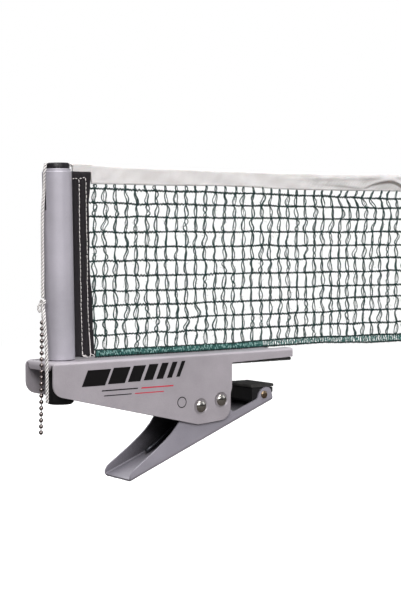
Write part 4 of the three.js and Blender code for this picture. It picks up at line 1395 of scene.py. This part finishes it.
def ball(z):
    """Points and faces of one ball, flattened at its poles."""
    verts, faces = [(CHAIN_X, CHAIN_Y, z + BALL_FLAT)], []
    for q in range(1, BALL_RINGS):
        polar = math.pi * q / BALL_RINGS
        radius, height = BALL_RADIUS * math.sin(polar), BALL_RADIUS * math.cos(polar)
        if q in (1, BALL_RINGS - 1):
            radius, height = HOLE_RADIUS, BALL_FLAT if q == 1 else -BALL_FLAT
        for k in range(BALL_SEGMENTS):
            angle = 2 * math.pi * k / BALL_SEGMENTS
            verts.append((CHAIN_X + radius * math.cos(angle),
                          CHAIN_Y + radius * math.sin(angle), z + height))
    last = len(verts)
    verts.append((CHAIN_X, CHAIN_Y, z - BALL_FLAT))
    turn = [(k, (k + 1) % BALL_SEGMENTS) for k in range(BALL_SEGMENTS)]
    faces += [(0, 1 + k, 1 + after) for k, after in turn]
    for q in range(BALL_RINGS - 2):
        upper = 1 + q * BALL_SEGMENTS
        lower = upper + BALL_SEGMENTS
        faces += [(upper + k, lower + k, lower + after, upper + after) for k, after in turn]
    bottom = last - BALL_SEGMENTS
    faces += [(last, bottom + after, bottom + k) for k, after in turn]
    return verts, faces


def build_chain(name, cad, body, first, stop):
    chain = TubeMesh()
    for i in range(first, stop):
        chain.add(*ball(CHAIN_TOP - i * BALL_PITCH))
    # the wire through the balls
    top = CHAIN_TOP - first * BALL_PITCH + BALL_RADIUS + (0.75 if first == 0 else 0.46)
    low = CHAIN_TOP - (stop - 1) * BALL_PITCH - BALL_RADIUS - 0.36
    heights = (top, top - 0.2, (top + low) / 2, low + 0.2, low)
    chain.tube([(CHAIN_X, CHAIN_Y, z) for z in heights], [0.24, 0.38, 0.4, 0.38, 0.24], 10)
    verts = np.concatenate(chain.verts)
    verts[:, 0] += (verts[:, 2] - CHAIN_TOP) * CHAIN_LEAN
    attach(mesh_object(name, verts, chain.faces, NICKEL), "chrome", body, replaces=cad)


# ------------------------------------------------------------------ marks printed on the cheeks
PRINT_Y = CHEEK_Y + 0.035
SIDE_NAMES = ((NEAR, "near"), (FAR, "far"))


def print_mark(name, points, faces, material, side):
    """A flat mark from (x, z) points. Faces are given as wound for the near cheek."""
    verts = [(x, side * PRINT_Y, z) for x, z in points]
    if side == FAR:
        faces = [face[::-1] for face in faces]
    mark = mesh_object(name, verts, faces, material, smooth=False)
    add_film(mark, 0.03)
    attach(mark, "paint")


def bar(x0, x1, z0, z1, lean):
    return [(x0, z0), (x1, z0), (x1 + lean, z1), (x0 + lean, z1)]


def print_bars(name, bars, material, side):
    faces = [tuple(range(4 * i, 4 * i + 4)) for i in range(len(bars))]
    print_mark(name, [point for shape in bars for point in shape], faces, material, side)


def dark_bars():
    """Slanted blocks that narrow towards +X on a slightly rising line, and two thin bars."""
    bars = []
    x, width = -134.0, 19.5
    for i in range(7):
        z = -6.6 + 0.030 * (x + 130)
        bars.append(bar(x, x + width, z, z + 11.6, 5.2))
        x += width + 2.3 + 0.3 * i
        width *= 0.745
    bars.append(bar(-117.5, -86.5, -11.0, -10.1, 0.5))
    bars.append(bar(-115.5, -92.0, -14.6, -13.9, 0.4))
    return bars


def print_ring(name, side):
    centre_x, centre_z = -47.0, -23.6
    count = 40
    points, faces = [], []
    for k in range(count):
        angle = 2 * math.pi * k / count
        for radius in (3.5, 4.2):
            points.append((centre_x + radius * math.cos(angle),
                           centre_z + radius * math.sin(angle)))
        a, c = 2 * k, 2 * ((k + 1) % count)
        faces.append((c, c + 1, a + 1, a))
    print_mark(name, points, faces, INK, side)


def build_prints():
    red_bars = [bar(-83.5, -55.0, -11.0, -10.1, 0.5), bar(-89.0, -63.5, -14.6, -13.9, 0.4)]
    for side, tag in SIDE_NAMES:
        print_bars("print_blocks_" + tag, dark_bars(), INK, side)
        print_bars("print_red_" + tag, red_bars, RED, side)
    for side, tag in SIDE_NAMES:
        print_ring("print_ring_" + tag, side)


# ------------------------------------------------------------------ stage, in world metres
def floor_material():
    """Pale to the camera, dark to bounced light, fading out into a white background."""
    m = Material("pale_floor")
    camera_ray = m.light_path("Is Camera Ray")
    distance = m.vector("LENGTH", m.place)["Value"]
    far_out = m.remap(distance, low=0.45, high=1.6)
    pale = m.two_tone(m.noise(scale=14, detail=4, roughness=0.6),
                      (0.92, 0.92, 0.925), (0.96, 0.96, 0.96))
    bounce = m.mix(m.light_path("Is Glossy Ray"), (0.17, 0.165, 0.165), (0.06, 0.052, 0.045))
    m.set(Base_Color=m.mix(camera_ray, bounce, pale), Roughness=0.9,
          Normal=m.bump(m.noise(scale=700), strength=0.05, distance=0.0003))
    white = m.node("Emission", {"Color": (1, 1, 1), "Strength": 1.0})
    glow_strength = m.math("MULTIPLY", camera_ray, 0.30)
    glow = m.node("Emission", {"Color": (1, 1, 1), "Strength": glow_strength})
    lit = m.node("AddShader", {0: m.principled.outputs["BSDF"], 1: glow.outputs[0]})
    surface = m.mix_shader(m.math("MULTIPLY", far_out, camera_ray),
                           lit.outputs[0], white.outputs[0])
    m.feed(m.output.inputs["Surface"], surface)
    return m.data


def build_floor():
    material = floor_material()
    bpy.ops.mesh.primitive_plane_add(size=12, location=(0, 0, -0.106))
    floor = bpy.context.object
    floor.name = "floor"
    floor.data.materials.append(material)
    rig.stage(floor)


# (height from straight down 0 to straight up 1, brightness), for diffuse and for glossy rays
SOFT_SKY = ((0.0, 0.10), (0.45, 0.20), (0.55, 0.34), (0.75, 0.72), (1.0, 0.95))
GLOSSY_SKY = ((0.0, 0.06), (0.42, 0.05), (0.52, 0.06), (0.62, 0.22), (0.74, 0.55), (1.0, 0.22))


def build_world():
    """Graded sky for the light, plain white for the camera."""
    world = bpy.data.worlds.new("studio")
    bpy.context.scene.world = world
    world.use_nodes = True
    w = Graph(world.node_tree)
    rays = w.node("LightPath").outputs
    split = w.node("SeparateXYZ", {0: w.node("TexCoord").outputs["Generated"]})
    height = w.remap(split.outputs["Z"], low=-1, high=1)

    def sky(stops):
        color = w.ramp(height, [(at, (v * 0.985, v * 0.985, v)) for at, v in stops])
        return w.node("Background", {"Color": color}).outputs[0]

    light = w.mix_shader(rays["Is Glossy Ray"], sky(SOFT_SKY), sky(GLOSSY_SKY))
    white = w.node("Background", {"Color": (1, 1, 1)}).outputs[0]
    w.node("OutputWorld", {"Surface": w.mix_shader(rays["Is Camera Ray"], light, white)})


def set_view():
    view = bpy.context.scene.view_settings
    view.view_transform = "Standard"
    view.look = "None"
    view.exposure = 0.0
    view.gamma = 1.0


# name, place, aim, size, power, colour
LIGHTS = (
    ("key", (-1.05, -1.30, 1.00), (-0.03, 0, 0.03), 0.75, 23.0, (1.0, 0.985, 0.97)),
    ("front", (-0.15, -1.75, 0.75), (0.02, 0, 0.03), 0.6, 8.0, (1.0, 0.99, 0.98)),
    ("top", (-0.05, -0.30, 1.45), (-0.02, 0, 0.05), 0.55, 14.5, (1.0, 0.99, 0.98)),
    ("right_fill", (1.3, -0.9, 0.5), (0.0, 0, 0.0), 0.7, 1.5, (1, 1, 1)),
    ("back_top", (0.3, 1.4, 1.3), (0.0, 0, 0.05), 1.0, 4.0, (1, 1, 1)),
)


def build_light(name, place, aim, size, power, color):
    data = bpy.data.lights.new(name, "AREA")
    data.energy = power
    data.color = color
    data.size = size
    light = bpy.data.objects.new(name, data)
    light.location = place
    way = Vector(aim) - Vector(place)
    light.rotation_euler = way.to_track_quat("-Z", "Y").to_euler()
    bpy.context.scene.collection.objects.link(light)
    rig.stage(light)


CAMERA_PLACE = (-655.7, -877.9, 101.2)  # layout millimetres
CAMERA_YAW = math.radians(53.89)        # from +X towards +Y
CAMERA_DIP = math.radians(2.66)


def build_camera():
    data = bpy.data.cameras.new("camera")
    data.sensor_fit = "AUTO"
    data.sensor_width = 36.0
    data.lens = 84.956406
    data.clip_start = 0.01
    data.clip_end = 50
    camera = bpy.data.objects.new("camera", data)
    bpy.context.scene.collection.objects.link(camera)
    ahead = Vector((math.cos(CAMERA_YAW) * math.cos(CAMERA_DIP),
                    math.sin(CAMERA_YAW) * math.cos(CAMERA_DIP), -math.sin(CAMERA_DIP)))
    right = Vector((math.sin(CAMERA_YAW), -math.cos(CAMERA_YAW), 0))
    up = right.cross(ahead)
    rotation = Matrix((right, up, -ahead)).transposed()
    place = Vector(to_world(CAMERA_PLACE).tolist())
    camera.matrix_world = Matrix.Translation(place) @ rotation.to_4x4()
    bpy.context.scene.camera = camera
    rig.stage(camera)


# ------------------------------------------------------------------ build, in order
for piece in CAD_PIECES:
    finish_cad(*piece)
build_pins()
build_spring()
build_rows()
build_columns()
build_hem_body()
build_hem_edges()
build_hem_knit()
build_tape()
build_tape_stitches()
build_band()
build_band_loop()
build_band_stitches()
build_cord()
build_cord_fray()
for part in CHAIN_PARTS:
    build_chain(*part)
build_prints()
build_floor()
build_world()
set_view()
for lamp in LIGHTS:
    build_light(*lamp)
build_camera()

with open("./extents.json", "w") as fh:
    json.dump({"cad": as_list(cad_box), "visual": as_list(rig.bounds())}, fh)
